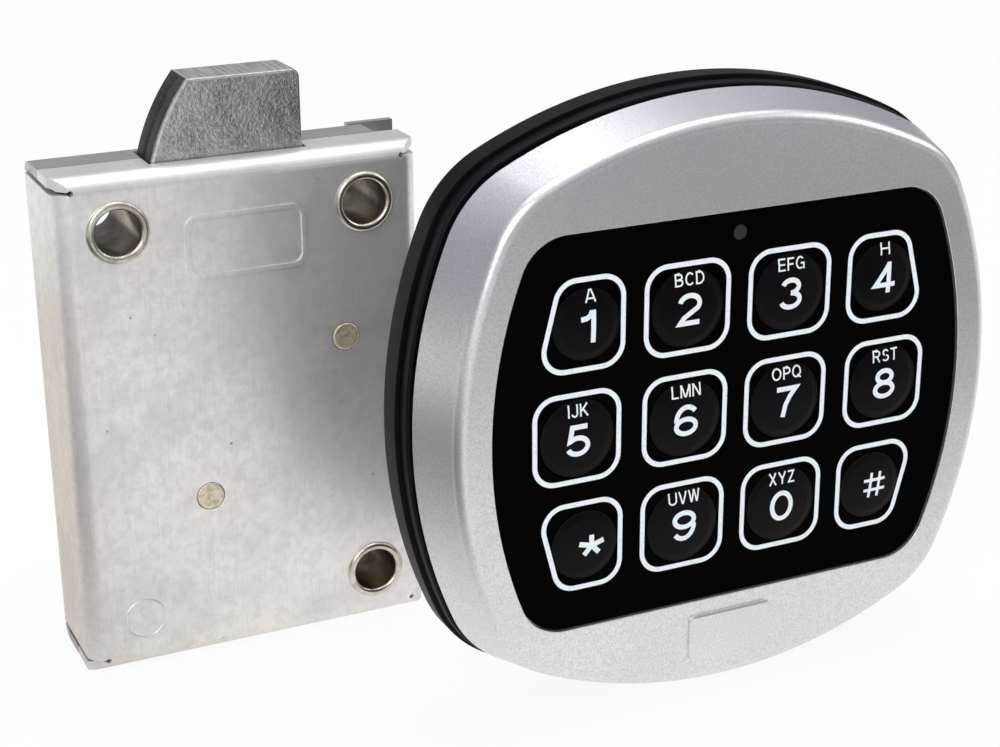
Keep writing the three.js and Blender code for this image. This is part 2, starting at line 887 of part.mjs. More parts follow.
function boardSpacer(x) {
  return cut(
    cylinder(x, spacerZ, lockBoard.spacerRadius, boardBack, innerBack, steps.small),
    cylinder(
      x,
      spacerZ,
      lockBoard.screwShankRadius + fit.seatGap,
      boardBack - fit.overrun,
      innerBack + fit.overrun,
      steps.small,
    ),
  );
}

function screw(x, z, head, headFront, headHeight, shank, shankEnd) {
  const toEnd = Math.sign(shankEnd - headFront);
  const seat = headFront + toEnd * headHeight;
  const span = (a, b) => [Math.min(a, b), Math.max(a, b)];
  return join(
    cylinder(x, z, head, ...span(headFront, seat), steps.small),
    cylinder(x, z, shank, ...span(headFront, shankEnd), steps.small),
  );
}

function socketShell() {
  const left = notchLeft + fit.slideGap;
  const right = notchRight - fit.slideGap;
  const { height, depth, wallThick, mouthDepth } = cableSocket;
  const front = boardFront - depth;
  const back = boardFront - wallThick;
  return cut(
    block(left, right, front, boardFront, 0, height),
    block(left + wallThick, right - wallThick, front + wallThick, back, -fit.overrun, mouthDepth),
  );
}

// Keypad outlines

// A quarter of a bowed outline, from the right-hand side up to the top, pulled in by an inset.
function bowedQuarter({ halfWidth, halfHeight, bowRadius: bow, cornerRadius: corner }, inset) {
  const side = new THREE.Vector2(halfWidth - bow, 0);
  const top = new THREE.Vector2(0, halfHeight - bow);
  const between = top.clone().sub(side);
  const rise = Math.sqrt((bow - corner) ** 2 - between.lengthSq() / 4);
  const outward = new THREE.Vector2(-between.y, between.x).normalize();
  const centre = side.clone().add(top).multiplyScalar(0.5).addScaledVector(outward, rise);
  const first = Math.atan2(centre.y - side.y, centre.x - side.x);
  const second = Math.atan2(centre.y - top.y, centre.x - top.x);
  return [
    ...arcPoints(side, bow - inset, 0, first, steps.bow),
    ...arcPoints(centre, corner - inset, first, second, steps.corner).slice(1),
    ...arcPoints(top, bow - inset, second, Math.PI / 2, steps.bow).slice(1),
  ];
}

// The faceplate's outline has bowed sides but a straight top and bottom.
function flatTopQuarter({ halfWidth, halfHeight, bowRadius: bow, cornerRadius: corner }, inset) {
  const side = new THREE.Vector2(halfWidth - bow, 0);
  const up = halfHeight - corner;
  const centre = new THREE.Vector2(side.x + Math.sqrt((bow - corner) ** 2 - up ** 2), up);
  const first = Math.atan2(up, centre.x - side.x);
  return [
    ...arcPoints(side, bow - inset, 0, first, steps.bow),
    ...arcPoints(centre, corner - inset, first, Math.PI / 2, steps.corner).slice(1),
  ];
}

function arcPoints(centre, radius, from, to, count) {
  return Array.from({ length: count + 1 }, (_, i) => {
    const turn = from + ((to - from) * i) / count;
    return new THREE.Vector2(centre.x + radius * Math.cos(turn), centre.y + radius * Math.sin(turn));
  });
}

// The whole outline from its quarter, counter-clockwise as seen from the front.
function mirrored(quarter) {
  const all = [
    ...quarter,
    ...quarter.map((p) => new THREE.Vector2(-p.x, p.y)).reverse(),
    ...quarter.map((p) => new THREE.Vector2(-p.x, -p.y)),
    ...quarter.map((p) => new THREE.Vector2(p.x, -p.y)).reverse(),
  ];
  return all.filter((p, i) => p.distanceTo(all[(i + 1) % all.length]) > weld.outline);
}

const bowed = (outline, inset = 0) => mirrored(bowedQuarter(outline, inset));
const flatTop = (outline, inset = 0) => mirrored(flatTopQuarter(outline, inset));

// A skin through outlines of equal point counts, each at its own depth, closed at both ends.
function loft(rings) {
  const count = rings[0].points.length;
  const positions = rings.flatMap(({ points, depth }) => points.flatMap((p) => [p.x, depth, p.y]));
  const index = [];
  for (let ring = 0; ring < rings.length - 1; ring += 1) {
    for (let i = 0; i < count; i += 1) {
      const next = (i + 1) % count;
      const [a, b] = [ring * count + i, ring * count + next];
      const [c, d] = [a + count, b + count];
      index.push(a, b, d, a, d, c);
    }
  }
  const lastStart = (rings.length - 1) * count;
  THREE.ShapeUtils.triangulateShape(rings[0].points, []).forEach(([a, b, c]) => index.push(a, c, b));
  THREE.ShapeUtils.triangulateShape(rings.at(-1).points, []).forEach(([a, b, c]) =>
    index.push(lastStart + a, lastStart + b, lastStart + c),
  );
  const geometry = new THREE.BufferGeometry();
  geometry.setAttribute("position", new THREE.Float32BufferAttribute(positions, 3));
  geometry.setIndex(index.reverse());
  return solid(geometry);
}

// Keypad housing

// The housing's outline at a share of the way from its front edge to its rear edge.
function housingOutline(share) {
  return {
    halfWidth: pad.halfWidth + pad.flareWidth * share,
    halfHeight: pad.halfHeight + pad.flareHeight * share,
    bowRadius: pad.bowRadius + pad.flareWidth * share,
    cornerRadius: pad.cornerRadius + pad.flareWidth * share,
  };
}

function housingShareAt(depth) {
  return Math.max(0, (depth - pad.edgeRadius) / (pad.depth - pad.edgeRadius));
}

function housingSkin() {
  const rings = pad.edgeShares.map((share) => {
    const turn = (share * Math.PI) / 2;
    return {
      points: bowed(housingOutline(0), pad.edgeRadius * (1 - Math.sin(turn))),
      depth: pad.edgeRadius * (1 - Math.cos(turn)),
    };
  });
  rings.push({ points: bowed(housingOutline(1)), depth: pad.depth });
  return loft(rings);
}

function housingHollow() {
  const ring = (depth) => ({ points: bowed(housingOutline(housingShareAt(depth)), pad.wallThick), depth });
  return loft([ring(pad.frontThick), ring(pad.depth + fit.overrun)]);
}

function bossPlaces() {
  return [[-1, 1], [1, 1], [-1, -1], [1, -1]].map(([x, z]) => [x * keyBoard.bossX, z * keyBoard.bossZ]);
}

function keypadHousing() {
  const recess = new THREE.Shape(flatTop(panel));
  const window = new THREE.Shape(flatTop(panel, panel.ledgeWidth));
  const bosses = bossPlaces().map(([x, z]) =>
    cylinder(x, z, keyBoard.bossRadius, pad.frontThick - pad.wallThick / 2, matBack, steps.small),
  );
  const pilots = bossPlaces().map(([x, z]) =>
    cylinder(
      x,
      z,
      keyBoard.screwShankRadius + fit.seatGap,
      matBack - keyBoard.screwDepth - fit.touchGap,
      matBack + fit.overrun,
      steps.small,
    ),
  );
  return cut(
    join(cut(housingSkin(), housingHollow()), ...bosses),
    plate(recess, -fit.overrun, panel.recessDepth + panel.thick),
    plate(window, -fit.overrun, pad.frontThick + fit.overrun),
    ...pilots,
  );
}

// Keys

const keyRows = [
  ["key_1", "key_2", "key_3", "key_4"],
  ["key_5", "key_6", "key_7", "key_8"],
  ["key_star", "key_9", "key_0", "key_hash"],
];

// Where a key stands, and how large it is.
function keyPlace(row, column) {
  const side = Math.sign(column - 1.5);
  const outermost = column === 0 || column === 3;
  const shift = row === 1 ? key.middleRowShift : -key.cornerKeyShift;
  return {
    x: (column - 1.5) * key.pitchX + (outermost ? side * shift : 0),
    z: (1 - row) * key.pitchZ - key.rowDrop,
    radius: outermost && row !== 1 ? key.cornerKeyRadius : key.radius,
  };
}

function keyCap(row, column) {
  const { x, z, radius } = keyPlace(row, column);
  return turned(
    x,
    z,
    [
      [0, panel.recessDepth - key.domeRise],
      [radius - key.domeSlopeWidth, panel.recessDepth - key.domeRise],
      [radius, panel.recessDepth],
      [radius, flangeFront],
      [radius + key.flangeWidth, flangeFront],
      [radius + key.flangeWidth, flangeBack],
      [0, flangeBack],
    ],
    steps.key,
  );
}

function faceplate() {
  const openings = keyRows.flatMap((names, row) =>
    names.map((_, column) => {
      const { x, z, radius } = keyPlace(row, column);
      return cylinder(
        x,
        z,
        radius + key.gap,
        panel.recessDepth - fit.overrun,
        panel.recessDepth + panel.thick + fit.overrun,
        steps.key,
      );
    }),
  );
  const outline = new THREE.Shape(flatTop(panel, panel.gap));
  outline.holes.push(circle(0, padParts.ledRise, padParts.ledRadius + padParts.ledGap));
  return cut(plate(outline, panel.recessDepth, panel.recessDepth + panel.thick), ...openings);
}

function switchMat() {
  const width = 3 * key.pitchX + 2 * (key.radius + key.middleRowShift + mat.marginWidth);
  const height = 2 * (key.pitchZ + key.radius + mat.marginWidth);
  const outline = roundedRectangle(0, -key.rowDrop, width, height, mat.cornerRadius);
  const sheet = plate(outline, matFront, matBack, steps.chip);
  const pads = keyRows.flatMap((names, row) =>
    names.map((_, column) => {
      const { x, z } = keyPlace(row, column);
      return cylinder(x, z, mat.padRadius, matPadFront, matFront + mat.sheetThick / 2, steps.small);
    }),
  );
  return join(sheet, ...pads);
}

function keyCircuitBoard() {
  const outline = new THREE.Shape(bowed(housingOutline(0), keyBoard.edgeInset));
  bossPlaces().forEach(([x, z]) => outline.holes.push(circle(x, z, keyBoard.screwShankRadius + fit.seatGap)));
  return plate(outline, matBack, keyBoardBack);
}

function statusLed() {
  const front = panel.recessDepth + padParts.ledSunkDepth;
  return cylinder(0, padParts.ledRise, padParts.ledRadius, front, matBack, steps.small);
}

function buzzerCan() {
  const { buzzerRadius, buzzerHeight, buzzerHoleRadius, buzzerX, buzzerZ } = padParts;
  const middle = keyBoardBack + buzzerHeight / 2;
  const back = keyBoardBack + buzzerHeight;
  return cut(
    cylinder(buzzerX, buzzerZ, buzzerRadius, keyBoardBack, back),
    cylinder(buzzerX, buzzerZ, buzzerHoleRadius, middle, back + fit.overrun, steps.small),
  );
}

function padSocket() {
  const { socketWidth, socketHeight, socketDepth, socketDrop, socketWallThick } = padParts;
  const shell = (inset, front, back) =>
    block(
      -socketWidth / 2 + inset,
      socketWidth / 2 - inset,
      front,
      back,
      -socketDrop - socketHeight / 2 + inset,
      -socketDrop + socketHeight / 2 - inset,
    );
  const floor = keyBoardBack + 2 * socketWallThick;
  const back = keyBoardBack + socketDepth;
  return cut(shell(0, keyBoardBack, back), shell(socketWallThick, floor, back + fit.overrun));
}

// Keypad base

function baseBody() {
  const full = bowed(base);
  const stepped = bowed(base, base.stepInset);
  return loft([
    { points: bowed(base, base.stepInset + base.edgeWidth), depth: base.frontDepth },
    { points: stepped, depth: base.frontDepth + base.edgeWidth },
    { points: stepped, depth: base.stepDepth },
    { points: full, depth: base.stepDepth + base.edgeWidth / 2 },
    { points: full, depth: base.backDepth - base.edgeWidth },
    { points: bowed(base, base.edgeWidth), depth: base.backDepth },
  ]);
}

// The collar that the housing pushes over follows the housing's inner draft.
function baseCollar() {
  const ring = (depth, inset) => ({
    points: bowed(housingOutline(housingShareAt(depth)), pad.wallThick + fit.slideGap + inset),
    depth,
  });
  const front = pad.depth - base.lipDepth;
  const back = base.frontDepth + base.edgeWidth;
  const hollow = loft([
    ring(front - fit.overrun, base.lipThick),
    ring(back + fit.overrun, base.lipThick),
  ]);
  return cut(loft([ring(front, 0), ring(back, 0)]), hollow);
}

function keypadBase() {
  const floor = base.backDepth - base.floorThick;
  const inner = housingOutline(housingShareAt(base.frontDepth));
  const hollow = new THREE.Shape(bowed(inner, pad.wallThick + base.wallThick));
  const holes = [-base.screwX, base.screwX].flatMap((x) => [
    cylinder(x, 0, base.screwHoleRadius, floor - fit.overrun, base.backDepth + fit.overrun, steps.small),
    cylinder(x, 0, base.screwSinkRadius, floor - fit.overrun, floor + base.floorThick / 2),
  ]);
  return join(
    cut(
      baseBody(),
      plate(hollow, base.frontDepth - fit.overrun, floor),
      cylinder(0, -padParts.socketDrop, base.cableHoleRadius, base.frontDepth, base.backDepth + fit.overrun),
      ...holes,
    ),
    baseCollar(),
  );
}

// The whole product

function lockUnit() {
  const group = new THREE.Group();
  group.add(
    piece("front_cover", "steel", frontCover()),
    piece("rear_case", "steel", rearCase()),
    piece("eyelet_top_left", "nickel", eyeletSleeve(-holeX, holeHigh)),
    piece("eyelet_top_right", "nickel", eyeletSleeve(holeX, holeHigh)),
    piece("eyelet_bottom_right", "nickel", eyeletSleeve(holeX, holeLow)),
    piece("upper_post", "rivet", rivetedPost(upperPost)),
    piece("lower_post", "rivet", rivetedPost(lowerPost)),
    piece("swing_bolt", "castMetal", swingBolt()),
    piece("bolt_spring", "springSteel", torsionSpring()),
    piece("blocking_lever", "steel", blockingLever()),
    piece("solenoid_frame", "steel", solenoidFrame()),
    piece("solenoid_coil", "copper", solenoidCoil()),
    piece("solenoid_plunger", "springSteel", solenoidPlunger()),
    piece("plunger_spring", "springSteel", compressionSpring()),
    piece("lock_circuit_board", "board", lockCircuitBoard()),
    piece("cable_socket", "socket", socketShell()),
  );
  const { chipWidth, chipThick, chipCornerRadius, chipInset, chipRise } = lockParts;
  const { capacitorRadius, capacitorHeight, capacitorInset, capacitorRise } = lockParts;
  const chipX = boardLeft + chipInset;
  const chipZ = boardBottom + chipRise;
  const chipOutline = roundedRectangle(chipX, chipZ, chipWidth, chipWidth, chipCornerRadius);
  const canX = boardRight - capacitorInset;
  const canZ = boardBottom + capacitorRise;
  group.add(
    piece("lock_chip", "blackPart", plate(chipOutline, boardFront - chipThick, boardFront, steps.chip)),
    piece(
      "capacitor",
      "blackPart",
      cylinder(canX, canZ, capacitorRadius, boardFront - capacitorHeight, boardFront),
    ),
  );
  spacerPlaces().forEach((x) => {
    const side = x < 0 ? "left" : "right";
    const { screwHeadRadius, screwHeadHeight, screwShankRadius } = lockBoard;
    const headFront = boardFront - screwHeadHeight;
    group.add(
      piece(`board_spacer_${side}`, "socket", boardSpacer(x)),
      piece(
        `board_screw_${side}`,
        "nickel",
        screw(x, spacerZ, screwHeadRadius, headFront, screwHeadHeight, screwShankRadius, innerBack),
      ),
    );
  });
  return group;
}

function keypadUnit() {
  const group = new THREE.Group();
  const { chipWidth, chipThick, chipCornerRadius, chipX, chipZ } = padParts;
  const chipOutline = roundedRectangle(chipX, chipZ, chipWidth, chipWidth, chipCornerRadius);
  const chipBack = keyBoardBack + chipThick;
  group.add(
    piece("keypad_housing", "silver", keypadHousing()),
    piece("overlay", "faceplate", faceplate()),
    piece("switch_mat", "rubber", switchMat()),
    piece("key_circuit_board", "board", keyCircuitBoard()),
    piece("status_led", "lens", statusLed()),
    piece("buzzer", "blackPart", buzzerCan()),
    piece("controller_chip", "blackPart", plate(chipOutline, keyBoardBack, chipBack, steps.chip)),
    piece("keypad_cable_socket", "socket", padSocket()),
    piece("keypad_base", "blackPlastic", keypadBase()),
  );
  keyRows.forEach((names, row) =>
    names.forEach((name, column) => group.add(piece(name, "keycap", keyCap(row, column)))),
  );
  bossPlaces().forEach(([x, z]) => {
    const name = `key_board_screw_${z > 0 ? "top" : "bottom"}_${x > 0 ? "right" : "left"}`;
    const { screwHeadRadius, screwHeadHeight, screwShankRadius, screwDepth } = keyBoard;
    const headBack = keyBoardBack + screwHeadHeight;
    const tip = matBack - screwDepth;
    group.add(
      piece(name, "nickel", screw(x, z, screwHeadRadius, headBack, screwHeadHeight, screwShankRadius, tip)),
    );
  });
  group.position.set(standing.keypadAcross, -standing.keypadAhead, base.halfHeight);
  return group;
}

// The origin is on the floor, under the middle of the two units together.
const product = new THREE.Group();
const lockEdge = -caseWidth / 2;
const keypadEdge = standing.keypadAcross + base.halfWidth;
product.add(lockUnit(), keypadUnit());
product.position.set(-(lockEdge + keypadEdge) / 2, (standing.keypadAhead - box.depth) / 2, 0);

export default product;
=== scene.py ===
"""Looks of an electronic safe lock: a swing-bolt case and its separate twelve-key keypad.

Lengths are millimetres unless said otherwise. Each unit is drawn from its own front: x to the
right, depth to the back and z upwards, and a Unit turns such a point into the frame's metres.
"""

import logging
import math
from collections.abc import Callable, Iterable, Sequence
from dataclasses import dataclass, field
from enum import Enum

import bmesh
import bpy
from mathutils import Matrix, Vector
from mathutils.geometry import tessellate_polygon


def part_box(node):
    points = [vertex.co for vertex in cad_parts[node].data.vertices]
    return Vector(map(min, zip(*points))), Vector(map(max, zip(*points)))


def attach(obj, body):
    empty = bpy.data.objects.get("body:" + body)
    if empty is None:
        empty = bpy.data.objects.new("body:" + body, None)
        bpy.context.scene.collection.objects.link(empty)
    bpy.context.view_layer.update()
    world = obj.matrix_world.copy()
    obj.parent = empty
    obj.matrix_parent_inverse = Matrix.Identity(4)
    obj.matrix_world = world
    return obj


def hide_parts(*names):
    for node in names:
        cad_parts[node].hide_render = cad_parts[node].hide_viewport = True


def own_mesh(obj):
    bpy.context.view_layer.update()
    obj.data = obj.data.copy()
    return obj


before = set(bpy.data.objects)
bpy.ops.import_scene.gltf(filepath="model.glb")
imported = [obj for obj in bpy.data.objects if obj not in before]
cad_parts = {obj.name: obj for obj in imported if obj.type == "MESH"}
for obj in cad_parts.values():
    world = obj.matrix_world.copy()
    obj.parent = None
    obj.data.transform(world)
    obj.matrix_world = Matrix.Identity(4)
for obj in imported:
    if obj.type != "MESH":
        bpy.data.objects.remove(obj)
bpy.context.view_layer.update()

log = logging.getLogger("safe_lock")

MM = 0.001
WELD = MM / 1000
Point = tuple[float, float]
Place = tuple[float, float, float]
Level = tuple[Sequence[Point], float]
Socket = bpy.types.NodeSocket
Material = bpy.types.Material
Piece = bpy.types.Object


class Axis(Enum):
    """The way in which an outline is pushed, as the order of its own two ways and the push."""

    ACROSS = (1, 0, 2)
    DEPTH = (0, 1, 2)
    UP = (0, 2, 1)


class Side(Enum):
    """Which way a flat face looks."""

    FRONT = 1
    BACK = -1


# Colours and shader nodes


def linear(code: str) -> tuple[float, ...]:
    """Turns an sRGB hex colour such as "#8F8C90" to linear red, green, blue and alpha."""
    shares = [int(code[i : i + 2], 16) / 255 for i in (1, 3, 5)]
    return (*(s / 12.92 if s <= 0.04045 else ((s + 0.055) / 1.055) ** 2.4 for s in shares), 1.0)


def per_mm(size: float) -> float:
    """Gives the texture scale whose features are about size millimetres wide."""
    return 1 / (size * MM)


def add_node(
    tree: bpy.types.NodeTree, kind: str, inputs: dict | None = None, output: str | int = 0, **settings: object
) -> Socket | None:
    """Adds a node and gives one of its outputs.

    Args:
        tree: The node tree to add to.
        kind: The node's type name.
        inputs: Socket name or number, to a value or to another node's output.
        output: The wanted output's name or number.
        **settings: Properties of the node, set before its inputs.

    Returns:
        The output, or nothing for a node that ends its tree.
    """
    node = tree.nodes.new(kind)
    for name, value in settings.items():
        setattr(node, name, value)
    for key, value in (inputs or {}).items():
        if isinstance(value, Socket):
            tree.links.new(value, node.inputs[key])
        else:
            node.inputs[key].default_value = value
    return node.outputs[output] if node.outputs else None


class Paint:
    """A material whose patterns lie on object coordinates and whose later coats cover earlier ones."""

    def __init__(self, name: str, colour: str, metallic: float, roughness: float, shine: float = 0.5) -> None:
        """Starts with one plain colour; metallic is 0 for plastics and paints and 1 for bare metal."""
        self.material = bpy.data.materials.new(name)
        self.material.use_nodes = True
        self.material.diffuse_color = linear(colour)
        self.tree = self.material.node_tree
        self.shader = next(n for n in self.tree.nodes if n.type == "BSDF_PRINCIPLED")
        plain = {"Base Color": linear(colour), "Metallic": metallic, "Roughness": roughness}
        for socket, value in {**plain, "Specular IOR Level": shine}.items():
            self.shader.inputs[socket].default_value = value
        self.colour: Socket | str = colour
        self.place = add_node(self.tree, "ShaderNodeTexCoord", output="Object")

    def noise(
        self, size: float, detail: float = 3.0, rough: float = 0.5, stretch: Place | None = None
    ) -> Socket:
        """Adds a noise pattern.

        Args:
            size: Width of its blotches.
            detail: How many finer layers it has.
            rough: How strong the finer layers are.
            stretch: Scale of the coordinates each way, for grain that runs one way.

        Returns:
            The pattern's value, 0 to 1.
        """
        place = self.place
        if stretch:
            place = add_node(self.tree, "ShaderNodeMapping", {"Vector": place, "Scale": stretch})
        given = {"Vector": place, "Scale": per_mm(size), "Detail": detail, "Roughness": rough}
        return add_node(self.tree, "ShaderNodeTexNoise", given, "Fac")

    def ramp(self, value: Socket, low: float, high: float, start: float = 0.0, end: float = 1.0) -> Socket:
        """Maps a value between low and high to start and end, and holds it outside."""
        given = {"Value": value, "From Min": low, "From Max": high, "To Min": start, "To Max": end}
        return add_node(self.tree, "ShaderNodeMapRange", given, interpolation_type="SMOOTHSTEP")

    def blend(self, share: Socket, first: Socket | str, second: Socket | str) -> Socket:
        """Mixes two colours, each a hex colour or a socket; share says how much of the second shows."""
        colours = [linear(c) if isinstance(c, str) else c for c in (first, second)]
        given = {0: share, 6: colours[0], 7: colours[1]}
        return add_node(self.tree, "ShaderNodeMix", given, 2, data_type="RGBA")

    def calculate(self, operation: str, first: Socket | float, second: Socket | float) -> Socket:
        """Works out one value from two."""
        return add_node(self.tree, "ShaderNodeMath", {0: first, 1: second}, operation=operation)

    def coat(self, share: Socket, colour: str) -> None:
        """Lays a colour over the present one where share is high."""
        self.colour = self.blend(share, self.colour, colour)
        self.tree.links.new(self.colour, self.shader.inputs["Base Color"])

    def wear(self, pattern: Socket, start: float, end: float) -> None:
        """Lets the roughness go from start to end with a pattern."""
        self.tree.links.new(self.ramp(pattern, 0.3, 0.7, start, end), self.shader.inputs["Roughness"])

    def bump(self, *layers: tuple[Socket, float]) -> None:
        """Adds relief from patterns, each with its height."""
        given: dict = {}
        for pattern, height in layers:
            given |= {"Height": pattern, "Distance": height * MM, "Strength": 1.0}
            given["Normal"] = add_node(self.tree, "ShaderNodeBump", given)
        self.tree.links.new(given["Normal"], self.shader.inputs["Normal"])


# Finishes, each named for the material; each function says how the surface was made


def pressed_steel(name: str, light: str, dark: str) -> Material:
    """Zinc-plated sheet, pressed and tumbled: a soft satin, faintly clouded, with few specks."""
    smooth_zinc, rough_zinc = 0.34, 0.44
    speck, speck_spacing = "#6A6668", 4.6
    paint = Paint(name, light, 0.7, smooth_zinc)
    clouds = paint.noise(size=16.0, detail=5.0, rough=0.65)
    mottle = paint.noise(size=1.3, rough=0.65)
    scratches = paint.noise(size=0.3, detail=2.0, stretch=(1.0, 1.0, 0.05))
    given = {"Vector": paint.place, "Scale": per_mm(speck_spacing)}
    cells = add_node(paint.tree, "ShaderNodeTexVoronoi", given)
    specks = paint.ramp(cells, 0.03, 0.07, start=1.0, end=0.0)
    paint.coat(paint.ramp(clouds, 0.42, 0.62, end=0.4), dark)
    paint.coat(paint.ramp(mottle, 0.4, 0.65, end=0.32), dark)
    paint.coat(paint.ramp(scratches, 0.5, 0.75, end=0.3), dark)
    paint.coat(paint.calculate("MULTIPLY", specks, paint.ramp(mottle, 0.45, 0.6, end=0.8)), speck)
    paint.wear(mottle, smooth_zinc, rough_zinc)
    paint.bump((scratches, 0.002), (mottle, 0.003))
    return paint.material


def turned_metal(
    name: str, colour: str, shade: str, roughness: float, mottle_size: float = 2.2, relief: float = 0.004
) -> Material:
    """Plated or plain metal turned on a lathe, with tool rings too fine to show."""
    paint = Paint(name, colour, 1.0, roughness)
    mottle = paint.noise(mottle_size, rough=0.6)
    paint.coat(paint.ramp(mottle, 0.35, 0.7), shade)
    paint.wear(mottle, roughness, roughness * 1.5)
    paint.bump((paint.noise(mottle_size / 8), relief))
    return paint.material


def cast_zinc(
    name: str, light: str, dark: str, grain: float, patch: float, roughness: float, relief: float
) -> Material:
    """Die-cast zinc left as it came from the mould: dark and grainy, like fine leather."""
    paint = Paint(name, dark, 0.85, roughness)
    skin = paint.noise(grain, detail=2.0, rough=0.6)
    patches = paint.noise(patch, rough=0.6)
    paint.coat(paint.ramp(patches, 0.35, 0.65, end=0.35), light)
    paint.coat(paint.ramp(skin, 0.42, 0.6, end=0.5), light)
    paint.wear(patches, roughness, roughness * 1.25)
    paint.bump((skin, relief))
    return paint.material


def milled_zinc() -> Material:
    """Zinc cut flat by a mill: fine parallel tool lines across a warmer grey."""
    paint = Paint("milled zinc", "#DAD6D2", 0.85, 0.42)
    lines = paint.noise(size=0.6, rough=0.7, stretch=(1.0, 0.05, 1.0))
    paint.coat(paint.ramp(lines, 0.35, 0.65, start=1.0, end=0.0), "#AEA9A4")
    paint.bump((lines, 0.008))
    return paint.material


def satin_lacquer() -> Material:
    """Moulded ABS sprayed with silver lacquer: an even satin with very fine flake."""
    roughness, dark = 0.31, "#CFCDD0"
    paint = Paint("silver lacquer on moulded ABS", "#EDECEE", 0.9, roughness)
    flake = paint.noise(size=0.3, detail=2.0, rough=0.6)
    clouds = paint.noise(size=22.0, detail=2.0)
    paint.coat(paint.ramp(clouds, 0.3, 0.7, end=0.35), dark)
    paint.coat(paint.ramp(flake, 0.4, 0.65, end=0.75), dark)
    paint.wear(flake, roughness, roughness + 0.08)
    paint.bump((flake, 0.003))
    return paint.material


def moulded_plastic(
    name: str,
    colour: str,
    worn: str,
    roughness: float,
    grain: float,
    relief: float = 0.01,
    shine: float = 0.5,
) -> Material:
    """Moulded plastic with an even spark-eroded grain."""
    paint = Paint(name, colour, 0.0, roughness, shine)
    skin = paint.noise(grain, detail=2.0, rough=0.6)
    patches = paint.noise(size=14.0, detail=4.0, rough=0.6)
    paint.coat(paint.ramp(patches, 0.35, 0.7, end=0.6), worn)
    paint.coat(paint.ramp(skin, 0.5, 0.75, end=0.6), worn)
    paint.wear(patches, roughness, roughness * 1.15)
    paint.bump((skin, relief))
    return paint.material


def screen_ink() -> Material:
    """White ink pressed through a screen: opaque, a little uneven at its edges."""
    paint = Paint("screen-printed white ink", "#EEF6F9", 0.0, 0.55)
    paint.coat(paint.ramp(paint.noise(0.5), 0.5, 0.8), "#D5E1E6")
    paint.bump((paint.noise(0.2), 0.002))
    return paint.material


def coil_winding() -> Material:
    """Enamelled copper wire wound in close layers: bright bands a wire apart, with painted shade in the
    creases between the turns.
    """
    wire = 0.35
    paint = Paint("enamelled copper winding", "#B06A3C", 0.9, 0.35)
    given = {"Vector": paint.place, "Scale": per_mm(wire) / math.tau * 2, "Distortion": 0.3}
    bands = add_node(paint.tree, "ShaderNodeTexWave", given, "Fac", bands_direction="Z")
    # The darker colour between the bands is painted shade between the turns.
    paint.coat(paint.calculate("SUBTRACT", 1.0, bands), "#5E3018")
    paint.bump((bands, 0.1))
    return paint.material


def circuit_board() -> Material:
    """Green solder mask over glass fibre: tracks show as slightly lighter raised lines."""
    pitch = 1.27
    paint = Paint("solder mask on glass fibre", "#1C5A38", 0.0, 0.35)
    given = {"Vector": paint.place, "Scale": per_mm(2 * pitch), "Randomness": 0.35}
    cells = add_node(paint.tree, "ShaderNodeTexVoronoi", given, distance="MANHATTAN", feature="F1")
    tracks = paint.ramp(cells, 0.42, 0.46)
    paint.coat(tracks, "#2F7A4C")
    paint.bump((tracks, 0.035))
    return paint.material


class Finishes:
    """Every finish of the product, each built once."""

    def __init__(self) -> None:
        """Builds the materials."""
        self.steel = pressed_steel("pressed zinc-plated steel sheet", "#F8F5F1", "#D6D3D3")
        # The rear sheet's steel is a darker copy of the front's: painted shade on its top flanges.
        self.rear_steel = pressed_steel("zinc-plated steel sheet with painted shade", "#C6C0BF", "#A8A2A3")
        self.nickel = turned_metal("nickel-plated brass", "#E2DCD0", "#C0B8AA", 0.27)
        # A darker copy of the nickel: painted shade inside the sleeves' bores.
        self.bore = turned_metal("nickel bore with painted shade", "#968C76", "#5F5747", 0.24, 6.0)
        self.rivet = turned_metal("peened steel rivet", "#F7EDD6", "#DDD1B9", 0.45, 0.8, 0.01)
        self.spring = turned_metal("drawn spring steel", "#8D8F94", "#6C6E72", 0.3)
        self.screw = turned_metal("zinc-plated screw steel", "#B9BCC2", "#989BA2", 0.25)
        # A lighter copy of the zinc for the bolt's bevels: partly wear, partly painted highlight.
        self.worn = turned_metal("zinc bevel, worn and with painted highlight", "#F4F2F2", "#C4C0BF", 0.3, 0.7, 0.01)
        self.cast = cast_zinc("die-cast zinc skin", "#E2DEDB", "#AAA5A3", 0.55, 5.0, 0.28, 0.2)
        edge = "die-cast zinc parting edge"
        self.cast_edge = cast_zinc(edge, "#6E6661", "#48423E", 0.6, 6.0, 0.5, 0.02)
        self.milled = milled_zinc()
        self.lacquer = satin_lacquer()
        film = "matte polycarbonate film"
        self.faceplate = moulded_plastic(film, "#020203", "#050506", 0.5, 0.3, 0.006, shine=0.01)
        self.key = moulded_plastic("textured black ABS", "#030305", "#09090C", 0.34, 0.25, 0.006, shine=0.1)
        self.base = moulded_plastic("grained dark ABS", "#07070A", "#101013", 0.4, 0.4, 0.008, shine=0.13)
        lens = "smoked polycarbonate lens"
        self.lens = moulded_plastic(lens, "#2C2C2E", "#39393B", 0.3, 2.0, 0.0, shine=0.2)
        self.part = moulded_plastic("epoxy moulding compound", "#161617", "#232325", 0.6, 0.2)
        self.socket = moulded_plastic("natural nylon", "#D8D4C8", "#C8C3B4", 0.5, 0.4)
        self.rubber = moulded_plastic("moulded silicone rubber", "#8F9294", "#7E8183", 0.8, 0.4)
        self.ink = screen_ink()
        self.winding = coil_winding()
        self.board = circuit_board()


# Outlines, drawn as seen from the front, counter-clockwise


